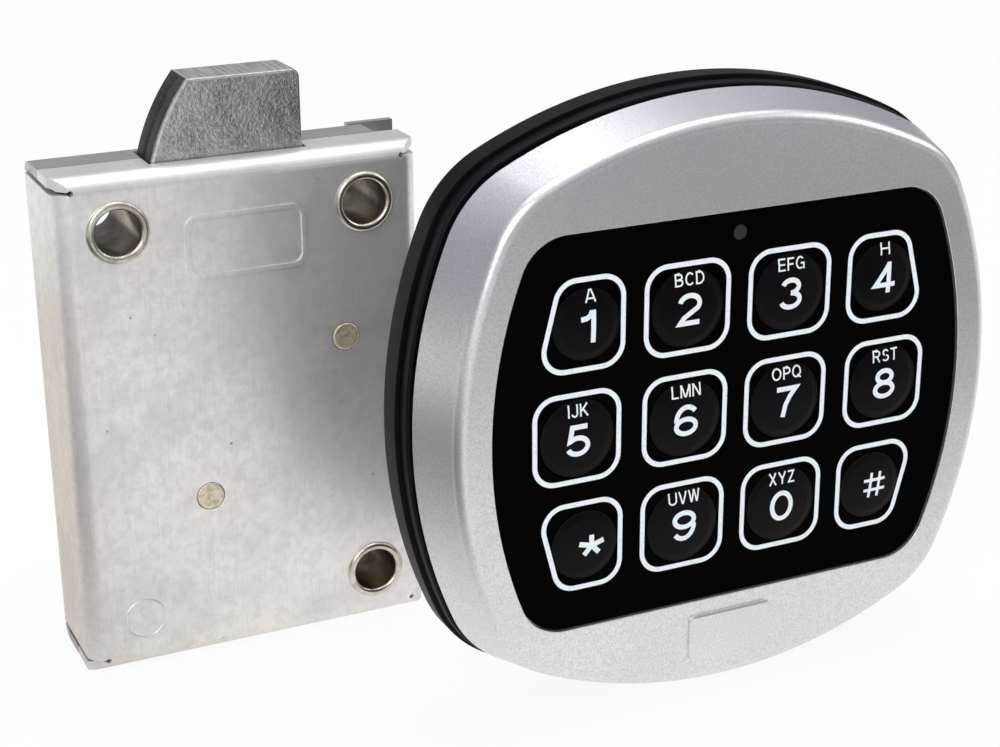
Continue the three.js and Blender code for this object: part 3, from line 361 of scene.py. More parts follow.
def arc(
    centre: Point, radius: float, start: float, end: float, steps: int, height: float | None = None
) -> list[Point]:
    """Gives points along an arc, both ends included.

    Args:
        centre: Its middle.
        radius: Its radius, or its half width.
        start: First angle in radians.
        end: Last angle in radians.
        steps: Number of stretches.
        height: Its half height, where it isn't round.

    Returns:
        The points in order.
    """
    rise = radius if height is None else height
    turns = [start + (end - start) * i / steps for i in range(steps + 1)]
    return [(centre[0] + radius * math.cos(t), centre[1] + rise * math.sin(t)) for t in turns]


HOLE_STEPS = 32
EDGE_MIDDLE = 0.3  # How far in an eased edge's middle lies, in shares of its width


def circle(centre: Point, radius: float, steps: int = 64) -> list[Point]:
    """Gives the points of a full circle."""
    return arc(centre, radius, 0, math.tau, steps)[:-1]


def eased(radius: float, steps: int) -> list[Point]:
    """Gives the inset and the depth of each step of a rounded edge, from its face to its side."""
    turns = [math.pi / 2 * i / steps for i in range(steps + 1)]
    return [(radius * (1 - math.sin(t)), radius * (1 - math.cos(t))) for t in turns]


def mirrored(quarter: list[Point]) -> list[Point]:
    """Mirrors a quarter outline, from the right-hand side up to the top, into a whole one."""
    upper = quarter + [(-x, z) for x, z in reversed(quarter[:-1])]
    return upper + [(x, -z) for x, z in reversed(upper[1:-1])]


def along(start: Point, end: Point, count: int) -> list[Point]:
    """Gives the points between two ends, neither included."""
    return [tuple(Vector(start).lerp(Vector(end), i / count)) for i in range(1, count)]


def rounded(corners: Sequence[Point], radius: float, steps: int = 8, between: int = 6) -> list[Point]:
    """Rounds a straight-sided outline's corners, with steps round each and points between them."""
    points: list[Point] = []
    count = len(corners)
    for i in range(count):
        corner = Vector(corners[i])
        before = (Vector(corners[i - 1]) - corner).normalized()
        after = (Vector(corners[(i + 1) % count]) - corner).normalized()
        half = before.angle(after) / 2
        centre = corner + (before + after).normalized() * (radius / math.sin(half))
        start = corner + before * (radius / math.tan(half)) - centre
        first = math.atan2(start.y, start.x)
        turned_corner = arc(tuple(centre), radius, first, first + math.pi - 2 * half, steps)
        if points:
            points += along(points[-1], turned_corner[0], between)
        points += turned_corner
    return points + along(points[-1], points[0], between)


def rectangle(left: float, right: float, low: float, high: float) -> list[Point]:
    """Gives a rectangle's corners."""
    return [(left, low), (right, low), (right, high), (left, high)]


def inset_outline(points: list[Point], inset: float) -> list[Point]:
    """Moves every side of an outline inwards, or outwards if inset is negative."""
    moved = []
    sharpest = 0.25
    for i, point in enumerate(points):
        here = Vector(point)
        before = (here - Vector(points[i - 1])).normalized()
        after = (Vector(points[(i + 1) % len(points)]) - here).normalized()
        inner = Vector((-before.y - after.y, before.x + after.x))
        moved.append(tuple(here + inner * (inset / max(0.5 * inner.length_squared, sharpest))))
    return moved


@dataclass(frozen=True)
class BowedOutline:
    """Four long arcs that bow outwards, joined by corner arcs."""

    half_width: float
    half_height: float
    bow: float
    corner: float
    steps: int = 14

    def at(self, inset: float = 0.0) -> list[Point]:
        """Gives the outline pulled in by an inset."""
        side = Vector((self.half_width - self.bow, 0))
        top = Vector((0, self.half_height - self.bow))
        between = top - side
        rise = math.sqrt((self.bow - self.corner) ** 2 - between.length_squared / 4)
        centre = (side + top) / 2 + Vector((-between.y, between.x)).normalized() * rise
        first = math.atan2(centre.y - side.y, centre.x - side.x)
        second = math.atan2(centre.y - top.y, centre.x - top.x)
        quarter = arc(tuple(side), self.bow - inset, 0, first, self.steps)
        quarter += arc(tuple(centre), self.corner - inset, first, second, self.steps)[1:]
        return mirrored(quarter + arc(tuple(top), self.bow - inset, second, math.pi / 2, self.steps)[1:])


@dataclass(frozen=True)
class FlatTopOutline(BowedOutline):
    """Bowed sides with a straight top and bottom, with as many points as a bowed outline."""

    def at(self, inset: float = 0.0) -> list[Point]:
        """Gives the outline pulled in by an inset."""
        side = (self.half_width - self.bow, 0.0)
        up = self.half_height - self.corner
        centre = (side[0] + math.sqrt((self.bow - self.corner) ** 2 - up**2), up)
        first = math.atan2(up, centre[0] - side[0])
        quarter = arc(side, self.bow - inset, 0, first, self.steps)
        quarter += arc(centre, self.corner - inset, first, math.pi / 2, self.steps)[1:]
        top = (0.0, quarter[-1][1])
        return mirrored(quarter + along(quarter[-1], top, self.steps) + [top])


# Meshes


@dataclass(frozen=True)
class Unit:
    """One of the two units, with the place of its own zero in the frame."""

    origin: Vector
    body: str

    def place(self, x: float, depth: float, z: float) -> Vector:
        """Turns millimetres from the unit's zero to metres in the frame."""
        return self.origin + MM * Vector((x, depth, z))

    def local(self, point: Vector) -> Vector:
        """Turns metres in the frame to millimetres from the unit's zero."""
        return (point - self.origin) / MM

    def box(self, node: str) -> tuple[Vector, Vector]:
        """Gives a CAD node's corners in the unit's millimetres."""
        low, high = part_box(node)
        return self.local(low), self.local(high)

    def middle(self, node: str) -> Point:
        """Gives the middle of a CAD node as seen from the front."""
        low, high = self.box(node)
        return ((low.x + high.x) / 2, (low.z + high.z) / 2)


def new_piece(name: str, data: bpy.types.ID) -> Piece:
    """Puts a mesh, a lamp or a camera in the scene."""
    made = bpy.data.objects.new(name, data)
    bpy.context.scene.collection.objects.link(made)
    return made


class Skin:
    """Points and faces of one piece, gathered in a unit's millimetres."""

    def __init__(self, unit: Unit) -> None:
        """Starts an empty skin on a unit."""
        self.unit = unit
        self.points: list[Vector] = []
        self.faces: list[list[int]] = []

    def ring(self, outline: Sequence[Point], depth: float) -> list[int]:
        """Adds an outline at one depth and gives its point numbers."""
        start = len(self.points)
        self.points += [Vector((x, depth, z)) for x, z in outline]
        return list(range(start, len(self.points)))

    def walls(self, rings: Sequence[list[int]], closed: bool = False) -> None:
        """Joins each ring to the next by a band of faces, and the last to the first if closed."""
        for first, second in zip(rings, [*rings[1:], *rings[: int(closed)]]):
            for i in range(len(first)):
                after = (i + 1) % len(first)
                self.faces.append([first[i], second[i], second[after], first[after]])

    def loft(self, levels: Iterable[Level], closed: bool = False) -> list[list[int]]:
        """Adds an outline at each depth, joins each to the next, and gives their point numbers."""
        rings = [self.ring(outline, depth) for outline, depth in levels]
        self.walls(rings, closed)
        return rings

    def flat(self, side: Side, outer: list[int], *holes: list[int]) -> None:
        """Fills a ring with a flat face that looks to one side, leaving its holes open."""
        loops = [outer, *holes]
        order = [i for loop in loops for i in loop]
        drawn = [[Vector((self.points[i].x, self.points[i].z, 0)) for i in loop] for loop in loops]
        for triangle in tessellate_polygon(drawn):
            face = [order[i] for i in triangle]
            a, b, c = (self.points[i] for i in face)
            towards_front = (b.x - a.x) * (c.z - a.z) - (b.z - a.z) * (c.x - a.x) > 0
            self.faces.append(face if towards_front == (side is Side.FRONT) else face[::-1])

    def piece(self, name: str, material: Material) -> Piece:
        """Makes the piece in the frame, with its faces looking outwards."""
        mesh = bpy.data.meshes.new(name)
        mesh.from_pydata([self.unit.place(*p) for p in self.points], [], self.faces)
        mesh.materials.append(material)
        return face_outwards(new_piece(name, mesh))


def face_outwards(made: Piece) -> Piece:
    """Merges a closed piece's doubled points and turns its faces outwards."""
    drawn = bmesh.new()
    drawn.from_mesh(made.data)
    bmesh.ops.remove_doubles(drawn, verts=drawn.verts, dist=WELD)
    bmesh.ops.dissolve_degenerate(drawn, edges=drawn.edges, dist=WELD)
    if drawn.calc_volume(signed=True) < 0:
        bmesh.ops.reverse_faces(drawn, faces=drawn.faces)
    drawn.to_mesh(made.data)
    drawn.free()
    return made


def bake(made: Piece) -> Piece:
    """Turns an object's modifiers to plain mesh."""
    graph = bpy.context.evaluated_depsgraph_get()
    mesh = bpy.data.meshes.new_from_object(made.evaluated_get(graph), depsgraph=graph)
    made.modifiers.clear()
    made.data = mesh
    return made


def modify(made: Piece, kind: str, **settings: object) -> Piece:
    """Runs one modifier with its settings on a piece and keeps the plain mesh."""
    modifier = made.modifiers.new(kind, kind)
    for name, value in settings.items():
        setattr(modifier, name, value)
    return bake(made)


def smooth(made: Piece, angle: float = 32.0) -> Piece:
    """Shades a piece smooth except at edges sharper than an angle, with flat faces kept flat."""
    made.data.shade_smooth()
    made.data.set_sharp_from_angle(angle=math.radians(angle))
    return modify(made, "WEIGHTED_NORMAL", keep_sharp=True, weight=80)


def ease_edges(made: Piece, width: float, angle: float = 50.0) -> Piece:
    """Rounds a piece's sharp edges a little, as tumbling or moulding leaves them."""
    return modify(
        made, "BEVEL", width=width * MM, segments=2, limit_method="ANGLE", angle_limit=math.radians(angle)
    )


def combine(made: Piece, tools: Sequence[Piece], operation: str = "DIFFERENCE") -> Piece:
    """Cuts tools out of a piece, or joins them to it, and removes them."""
    for tool in tools:
        modify(made, "BOOLEAN", object=tool, operation=operation, solver="EXACT")
        bpy.data.objects.remove(tool)
    return made


def lofted(
    unit: Unit, name: str, levels: Iterable[Level], material: Material, axis: Axis = Axis.DEPTH
) -> Piece:
    """Joins outlines at their depths to one piece that is flat at both ends."""
    skin = Skin(unit)
    rings = skin.loft(levels)
    skin.flat(Side.FRONT, rings[0])
    skin.flat(Side.BACK, rings[-1])
    skin.points = [Vector([p[i] for i in axis.value]) for p in skin.points]
    return skin.piece(name, material)


def prism(
    unit: Unit,
    outline: Sequence[Point],
    start: float,
    end: float,
    material: Material,
    axis: Axis = Axis.DEPTH,
    name: str = "prism",
) -> Piece:
    """Makes an outline pushed along an axis.

    Args:
        unit: The unit that it belongs to.
        outline: Across and up for DEPTH, depth and up for ACROSS, across and depth for UP.
        start: Where it starts on that axis.
        end: Where it ends.
        material: Its finish.
        axis: The way it is pushed.
        name: The object's name.

    Returns:
        The object.
    """
    pairs = zip(outline, [*outline[1:], outline[0]])
    clockwise = sum(a[0] * b[1] - b[0] * a[1] for a, b in pairs) < 0
    drawn = list(outline)[::-1] if clockwise else outline
    return lofted(unit, name, ((drawn, start), (drawn, end)), material, axis)


def refinish(made: Piece, *materials: Material) -> None:
    """Gives a piece these materials in place of its own."""
    made.data.materials.clear()
    for material in materials:
        made.data.materials.append(material)


def dress(made: Piece, body: str, nodes: Sequence[str] = ()) -> Piece:
    """Fastens a finished piece to its body and says what it stands for.

    Args:
        made: The piece.
        body: The CAD body that it rides on.
        nodes: CAD nodes that it replaces.

    Returns:
        The same piece.
    """
    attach(made, body)
    if nodes:
        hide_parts(*nodes)
    log.info("%s rides on %s, %d faces", made.name, body, len(made.data.polygons))
    return made


# Geometry Nodes recipes


class Recipe:
    """A Geometry Nodes tree with named inputs, used on one object at a time."""

    def __init__(self, name: str) -> None:
        """Starts a tree that takes and gives one geometry."""
        self.tree = bpy.data.node_groups.new(name, "GeometryNodeTree")
        for way in ("INPUT", "OUTPUT"):
            self.tree.interface.new_socket("Geometry", in_out=way, socket_type="NodeSocketGeometry")
        self.entry = self.tree.nodes.new("NodeGroupInput")
        self.exit = self.tree.nodes.new("NodeGroupOutput")

    def value(self, name: str, kind: str) -> Socket:
        """Adds a named input and gives its socket inside the tree."""
        self.tree.interface.new_socket(name, in_out="INPUT", socket_type=f"NodeSocket{kind}")
        return self.entry.outputs[name]

    def step(self, kind: str, inputs: dict, output: str | int = 0, **settings: object) -> Socket:
        """Adds a geometry node and gives one of its outputs."""
        return add_node(self.tree, f"GeometryNode{kind}", inputs, output, **settings)

    def finish(self, made: Socket) -> "Recipe":
        """Ends the tree in real geometry with its material."""
        real = self.step("RealizeInstances", {"Geometry": made})
        coated = self.step("SetMaterial", {"Geometry": real, "Material": self.value("Finish", "Material")})
        self.tree.links.new(coated, self.exit.inputs["Geometry"])
        return self

    def use(self, made: Piece, **values: object) -> Piece:
        """Runs the tree on an object and keeps the plain mesh.

        Args:
            made: The object whose mesh is the tree's input.
            **values: The inputs, by their names with underscores for spaces.

        Returns:
            The same object.
        """
        modifier = made.modifiers.new(self.tree.name, "NODES")
        modifier.node_group = self.tree
        given = {name.replace("_", " "): value for name, value in values.items()}
        for item in self.tree.interface.items_tree:
            if item.in_out == "INPUT" and item.name in given:
                modifier[item.identifier] = given[item.name]
        return bake(made)


def drawn_line(name: str, points: Sequence[Vector], closed: bool = False) -> Piece:
    """Makes a mesh of edges only, for a recipe to follow."""
    mesh = bpy.data.meshes.new(name)
    count = len(points)
    mesh.from_pydata(points, [(i, (i + 1) % count) for i in range(count if closed else count - 1)], [])
    return new_piece(name, mesh)


def turned_recipe() -> Recipe:
    """Turns a profile round an axis along the depth at every point of the input."""
    recipe = Recipe("turned on a lathe")
    profile = recipe.value("Profile", "Object")
    steps = recipe.value("Steps", "Int")
    reach = recipe.value("Path Radius", "Float")
    drawn = recipe.step("ObjectInfo", {"Object": profile}, "Geometry")
    section = recipe.step("MeshToCurve", {"Mesh": drawn})
    path = recipe.step("CurvePrimitiveCircle", {"Resolution": steps, "Radius": reach})
    upright = recipe.step("SetCurveNormal", {"Curve": path}, mode="Z_UP")
    swept = recipe.step("CurveToMesh", {"Curve": upright, "Profile Curve": section})
    laid = recipe.step("Transform", {"Geometry": swept, "Rotation": (math.pi / 2, 0, 0)})
    closed = recipe.step("MergeByDistance", {"Geometry": laid, "Distance": WELD})
    places = recipe.entry.outputs["Geometry"]
    return recipe.finish(recipe.step("InstanceOnPoints", {"Points": places, "Instance": closed}))


def turned(
    unit: Unit, name: str, profile: Sequence[Point], places: Sequence[Point], material: Material
) -> Piece:
    """Turns one profile at several places.

    Args:
        unit: The unit that it belongs to.
        name: The object's name.
        profile: Radius and depth of each point; it starts and ends on the axis, or goes round it.
        places: The middles, as seen from the front.
        material: The finish.

    Returns:
        The pieces as one object.
    """
    reach = 1.0
    hollow = min(radius for radius, _ in profile) > 0
    line = drawn_line("profile", [MM * Vector((r - reach, d, 0)) for r, d in profile], hollow)
    made = drawn_line(name, [unit.place(x, 0, z) for x, z in places])
    turned_recipe().use(made, Profile=line, Steps=72, Path_Radius=reach * MM, Finish=material)
    bpy.data.objects.remove(line)
    return face_outwards(made)


def band_recipe() -> Recipe:
    """Draws a flat band along a four-cornered outline with rounded corners."""
    recipe = Recipe("band along a rounded frame")
    corners = {f"Point {i}": recipe.value(f"Corner {i}", "Vector") for i in (1, 2, 3, 4)}
    radius, width, height = (
        recipe.value(name, "Float") for name in ("Corner Radius", "Line Width", "Band Height")
    )
    steps = recipe.value("Steps", "Int")
    shape = recipe.step("CurvePrimitiveQuadrilateral", corners, mode="POINTS")
    corner = {"Curve": shape, "Radius": radius, "Count": steps, "Limit Radius": True}
    soft = recipe.step("FilletCurve", corner, mode="POLY")
    level = recipe.step("SetCurveNormal", {"Curve": soft}, mode="Z_UP")
    section = recipe.step("CurvePrimitiveQuadrilateral", {"Width": width, "Height": height})
    return recipe.finish(recipe.step("CurveToMesh", {"Curve": level, "Profile Curve": section}))


@dataclass(frozen=True)
class Band:
    """A low band that runs along a rounded outline: its corner radius, width, height and depth."""

    corner: float
    width: float
    height: float
    depth: float

    def lay(self, unit: Unit, name: str, corners: Sequence[Point], material: Material) -> Piece:
        """Lays the band along an outline on a unit's front, half of its height sunk in.

        Args:
            unit: The unit that carries it.
            name: The object's name.
            corners: The four corners of its middle line.
            material: Its finish.

        Returns:
            The band.
        """
        made = drawn_line(name, [Vector((0, 0, 0))])
        band_recipe().use(
            made,
            **{f"Corner_{i + 1}": MM * Vector((x, z, 0)) for i, (x, z) in enumerate(corners)},
            Corner_Radius=self.corner * MM,
            Line_Width=self.width * MM,
            Band_Height=self.height * MM,
            Steps=10,
            Finish=material,
        )
        upright = Matrix.Rotation(math.pi / 2, 4, "X")
        made.data.transform(Matrix.Translation(unit.place(0, self.depth, 0)) @ upright)
        return face_outwards(made)


def join_meshes(first: Piece, second: Piece) -> Piece:
    """Adds the second object's mesh to the first, and removes the second."""
    drawn = bmesh.new()
    drawn.from_mesh(first.data)
    drawn.from_mesh(second.data)
    drawn.to_mesh(first.data)
    drawn.free()
    bpy.data.objects.remove(second)
    return first


# The camera and the studio


@dataclass(frozen=True)
class Photographer:
    """The camera, found from the places of the screw holes and the outlines in the picture."""

    lens: float = 72.114
    sensor: float = 36.0
    turn: float = -25.206
    tilt: float = -20.181
    roll: float = 0.394
    place: Place = (-136.65, -281.45, 162.67)

    def build(self) -> None:
        """Makes the scene's camera."""
        data = bpy.data.cameras.new("camera")
        data.lens = self.lens
        data.sensor_width = self.sensor
        data.sensor_fit = "HORIZONTAL"
        data.clip_start = 0.01
        data.clip_end = 50
        turns = ((self.turn, "Z"), (self.tilt, "X"), (self.roll, "Y"), (90.0, "X"))
        stand = Matrix.Translation(MM * Vector(self.place))
        for angle, axis in turns:
            stand = stand @ Matrix.Rotation(math.radians(angle), 4, axis)
        camera = new_piece("camera", data)
        camera.matrix_world = stand
        bpy.context.scene.camera = camera


@dataclass(frozen=True)
class Softbox:
    """One soft white lamp: its place and size in metres, and its power in watts."""

    name: str
    place: Place
    width: float
    height: float
    power: float

    def hang(self, target: Vector) -> None:
        """Makes the lamp and aims it."""
        data = bpy.data.lights.new(self.name, "AREA")
        data.shape = "RECTANGLE"
        data.size = self.width
        data.size_y = self.height
        data.energy = self.power
        lamp = new_piece(self.name, data)
        lamp.location = self.place
        lamp.rotation_euler = (target - lamp.location).to_track_quat("-Z", "Y").to_euler()


@dataclass(frozen=True)
class Shade:
    """A painted reflection: a darker patch of the floor that only metal and gloss show, full up to near
    metres and gone past far.
    """

    colour: str
    place: Place
    near: float
    far: float


@dataclass(frozen=True)
class Studio:
    """White floor, white surroundings and soft lamps, with lengths in metres."""

    floor_half: float = 2.0
    floor_drop: float = 0.0002
    floor_colour: str = "#F0F0F0"
    white: str = "#FFFFFF"
    glow_share: float = 0.92
    # Darker patches seen only in reflections: painted reflections on the metal and the lacquer.
    shades: tuple[Shade, ...] = (
        Shade("#2A170E", (0.21, -0.34, 0.0), 0.1, 0.33),
        Shade("#D8CCBC", (-0.13, 0.13, 0.0), 0.06, 0.2),
        Shade("#35302C", (-0.22, -0.06, 0.0), 0.1, 0.2),
    )
    world_colour: str = "#EDF2FB"
    horizon: Point = (0.1, 0.26)
    zenith: Point = (0.8, 0.6)
    target: Place = (0.0, 0.0, 0.045)
    lamps: tuple[Softbox, ...] = (
        Softbox("overhead softbox", (0.1, 0.1, 1.1), 1.0, 1.0, 5.5),
        Softbox("front left softbox", (-0.7, -0.75, 0.65), 0.5, 0.7, 6.0),
        Softbox("right fill", (0.9, -0.3, 0.6), 0.6, 0.6, 2.0),
    )

    def build(self) -> None:
        """Builds the whole studio."""
        self.lay_floor()
        self.light_world()
        for lamp in self.lamps:
            lamp.hang(Vector(self.target))
        bpy.context.scene.view_settings.view_transform = "Standard"

    def lay_floor(self) -> None:
        """Lays a floor that is white to the camera apart from the product's shadow."""
        mesh = bpy.data.meshes.new("floor")
        half = self.floor_half
        mesh.from_pydata([(*corner, 0) for corner in rectangle(-half, half, -half, half)], [], [(0, 1, 2, 3)])
        mesh.materials.append(self.floor_material())
        floor = new_piece("floor", mesh)
        floor.location.z = -self.floor_drop

    def floor_material(self) -> Material:
        """Makes white card that glows to the camera and in metal, where its darker patches show as painted
        reflections.
        """
        paint = Paint("matte white card with painted reflection patches", self.floor_colour, 0.0, 1.0)
        tree = paint.tree
        rays = add_node(tree, "ShaderNodeLightPath").node.outputs
        shaded: Socket | str = self.white
        for shade in self.shades:
            given = {0: paint.place, 1: shade.place}
            away = add_node(tree, "ShaderNodeVectorMath", given, "Value", operation="DISTANCE")
            shaded = paint.blend(paint.ramp(away, shade.near, shade.far, 1.0, 0.0), shaded, shade.colour)
        seen = rays["Is Camera Ray"]
        shown = {"Color": paint.blend(seen, shaded, self.white), "Strength": 1.0}
        glow = add_node(tree, "ShaderNodeEmission", shown)
        for other in ("Is Glossy Ray", "Is Transmission Ray"):
            seen = paint.calculate("MAXIMUM", seen, rays[other])
        share = paint.calculate("MULTIPLY", seen, self.glow_share)
        mixed = add_node(tree, "ShaderNodeMixShader", {0: share, 1: paint.shader.outputs[0], 2: glow})
        add_node(tree, "ShaderNodeOutputMaterial", {"Surface": mixed}, is_active_output=True)
        return paint.material

    def light_world(self) -> None:
        """Makes the surroundings white to the camera, and brighter overhead than all round to the rest."""
        world = bpy.data.worlds.new("white surroundings")
        bpy.context.scene.world = world
        world.use_nodes = True
        tree = world.node_tree
        tree.nodes.clear()
        seen = add_node(tree, "ShaderNodeLightPath", output="Is Camera Ray")
        way = add_node(tree, "ShaderNodeTexCoord", output="Generated")
        (low, dim), (high, bright) = self.horizon, self.zenith
        given = {"From Min": low, "From Max": high, "To Min": dim, "To Max": bright}
        given["Value"] = add_node(tree, "ShaderNodeSeparateXYZ", {0: way}, "Z")
        strength = add_node(tree, "ShaderNodeMapRange", given)
        skies = [
            add_node(tree, "ShaderNodeBackground", {"Color": linear(colour), "Strength": power})
            for colour, power in ((self.world_colour, strength), (self.white, 1.0))
        ]
        sky = add_node(tree, "ShaderNodeMixShader", {0: seen, 1: skies[0], 2: skies[1]})
        add_node(tree, "ShaderNodeOutputWorld", {"Surface": sky})


# Keypad


@dataclass
class Part:
    """A sub-assembly: the unit it belongs to and the finishes it is made in."""

    unit: Unit
    finishes: Finishes


@dataclass(frozen=True)
class KeypadSizes:
    """The sizes that the housing, the faceplate and the keys share."""

    front_outline: BowedOutline = BowedOutline(47.8, 46.8, 76.5, 15.6)
    depth: float = 9.8
    edge_radius: float = 1.9
    flare_width: float = 3.0
    flare_height: float = 1.9
    wall: float = 1.8
    front: float = 2.2
    recess: float = 0.5
    recess_edge: float = 0.14
    recess_soft: Point = (0.4, 0.35)
    panel_thick: float = 0.8
    panel_gap: float = 0.15
    ledge: float = 1.6
    panel: FlatTopOutline = FlatTopOutline(42.0, 31.9, 74.5, 7.8)

    def outline(self, depth: float) -> BowedOutline:
        """Gives the housing's outline at a depth behind its front."""
        share = max(0.0, (depth - self.edge_radius) / (self.depth - self.edge_radius))
        wide, tall = self.flare_width * share, self.flare_height * share
        f = self.front_outline
        return BowedOutline(f.half_width + wide, f.half_height + tall, f.bow + wide, f.corner + wide)


KEYPAD = KeypadSizes()


@dataclass
class KeypadHousing(Part):
    """The silver moulded cover with its recess for the faceplate and its bare badge place."""

    edge_steps: int = 8
    rear_edge: float = 0.2
    boss_x: float = 28.0
    boss_z: float = 33.2
    boss_radius: float = 2.6
    boss_root: float = 0.9
    pilot_radius: float = 1.1
    pilot_depth: float = 2.9
    badge: tuple[Point, Point] = ((-7.7, 7.5), (-42.4, -34.3))
    badge_corner: float = 1.2
    badge_rise: float = 0.5
    badge_edge: float = 0.42
    badge_root: float = 0.05

    def build(self) -> None:
        """Makes the cover and the badge plate."""
        shell = combine(self.shell(), self.bosses(), "UNION")
        dress(smooth(shell), self.unit.body, ["keypad_housing"])
        dress(smooth(self.badge_plate(), 40), self.unit.body)

    def shell(self) -> Piece:
        """Lofts the cover as one closed band: outside, rear edge, inside, ledge, recess, front."""
        s = KEYPAD
        levels = [(s.outline(0).at(inset), depth) for inset, depth in eased(s.edge_radius, self.edge_steps)]
        side = s.depth - self.rear_edge
        seat = s.recess + s.panel_thick
        inwards, depth = (share * s.recess_edge for share in s.recess_soft)
        levels += [
            (s.outline(side).at(), side),
            (s.outline(s.depth).at(self.rear_edge), s.depth),
            (s.outline(s.depth).at(s.wall), s.depth),
            (s.outline(s.front).at(s.wall), s.front),
            (s.panel.at(s.ledge), s.front),
            (s.panel.at(s.ledge), seat),
            (s.panel.at(), seat),
            (s.panel.at(), s.recess_edge),
            (s.panel.at(-inwards), depth),
            (s.panel.at(-s.recess_edge), 0),
        ]
        skin = Skin(self.unit)
        skin.loft(levels, closed=True)
        return skin.piece("housing_cover", self.finishes.lacquer)

    def bosses(self) -> list[Piece]:
        """Makes the four screw bosses behind the front wall."""
        made = []
        root = KEYPAD.front - self.boss_root
        board = self.unit.box("key_circuit_board")[0].y
        for place in ((x, z) for x in (-self.boss_x, self.boss_x) for z in (-self.boss_z, self.boss_z)):
            outer, inner = (circle(place, r, HOLE_STEPS) for r in (self.boss_radius, self.pilot_radius))
            levels = ((outer, root), (outer, board), (inner, board), (inner, board - self.pilot_depth))
            made.append(lofted(self.unit, "boss", levels, self.finishes.lacquer))
        return made

    def badge_plate(self) -> Piece:
        """Makes the raised plate where a maker would put its mark, left bare."""
        (left, right), (low, high) = self.badge
        outline = rounded(rectangle(left, right, low, high), self.badge_corner)
        edge, rise = self.badge_edge, self.badge_rise
        soft = edge * EDGE_MIDDLE
        steps = ((edge, -rise), (soft, soft - rise), (0.0, self.badge_root))
        levels = ((inset_outline(outline, inset), depth) for inset, depth in steps)
        return lofted(self.unit, "badge_plate", levels, self.finishes.lacquer)


@dataclass(frozen=True)
class Key:
    """One key: where it stands, what is printed on it, and the sizes that all keys share."""

    node: str
    row: int
    column: int
    digit: str
    letters: str = ""
    print_shift: Point = (0.0, 0.0)
    wide_radius: float = 6.25
    corner_radius: float = 5.65
    pitch: Point = (18.15, 17.87)
    row_drop: float = 0.18
    middle_row_shift: float = 0.5
    corner_shift: float = 0.9
    gap: float = 0.15
    rise: float = 0.27
    crown: float = 0.23
    slope: float = 1.5
    thick: float = 1.1
    flange_width: float = 0.6
    flange_thick: float = 0.6
    frame_size: Point = (15.0, 14.8)
    frame_corner: float = 3.85
    frame_slant: float = 3.6
    line: float = 0.8

    @property
    def side(self) -> int:
        """Which way the key's outer side looks: -1 to the left and 1 to the right."""
        return 1 if self.column > 1 else -1

    @property
    def at_corner(self) -> bool:
        """Whether the key stands at a corner of the faceplate, in a slanted frame."""
        return self.column in (0, 3) and self.row != 1

    @property
    def frame_middle(self) -> Point:
        """The middle of the frame printed round the key."""
        shift = self.side * self.middle_row_shift if self.column in (0, 3) and self.row == 1 else 0.0
        return ((self.column - 1.5) * self.pitch[0] + shift, (1 - self.row) * self.pitch[1] - self.row_drop)

    @property
    def middle(self) -> Point:
        """The middle of the round key, drawn in where its frame is slanted."""
        x, z = self.frame_middle
        return (x - self.side * self.corner_shift * self.at_corner, z)

    @property
    def radius(self) -> float:
        """The key's radius."""
        return self.corner_radius if self.at_corner else self.wide_radius

    def rise_at(self, x: float, z: float) -> float:
        """Gives how far the key's face stands out of the faceplate at a place."""
        away = math.dist((x, z), self.middle)
        up = min(max((self.radius - away) / self.slope, 0.0), 1.0)
        crown = max(0.0, 1 - (away / (self.radius - self.slope)) ** 2)
        return self.rise * up * up * (3 - 2 * up) + self.crown * crown

    def frame_corners(self) -> list[Point]:
        """Gives the four corners of the printed frame's middle line."""
        slant = self.frame_slant * self.at_corner
        high, low = (slant, 0.0) if self.row == 0 else (0.0, slant)
        w, h = ((size - self.line) / 2 for size in self.frame_size)
        x, z = self.frame_middle
        corners = [(-w, -h), (w - low, -h), (w - high, h), (-w, h)]
        return [(x + self.side * u, z + v) for u, v in corners]


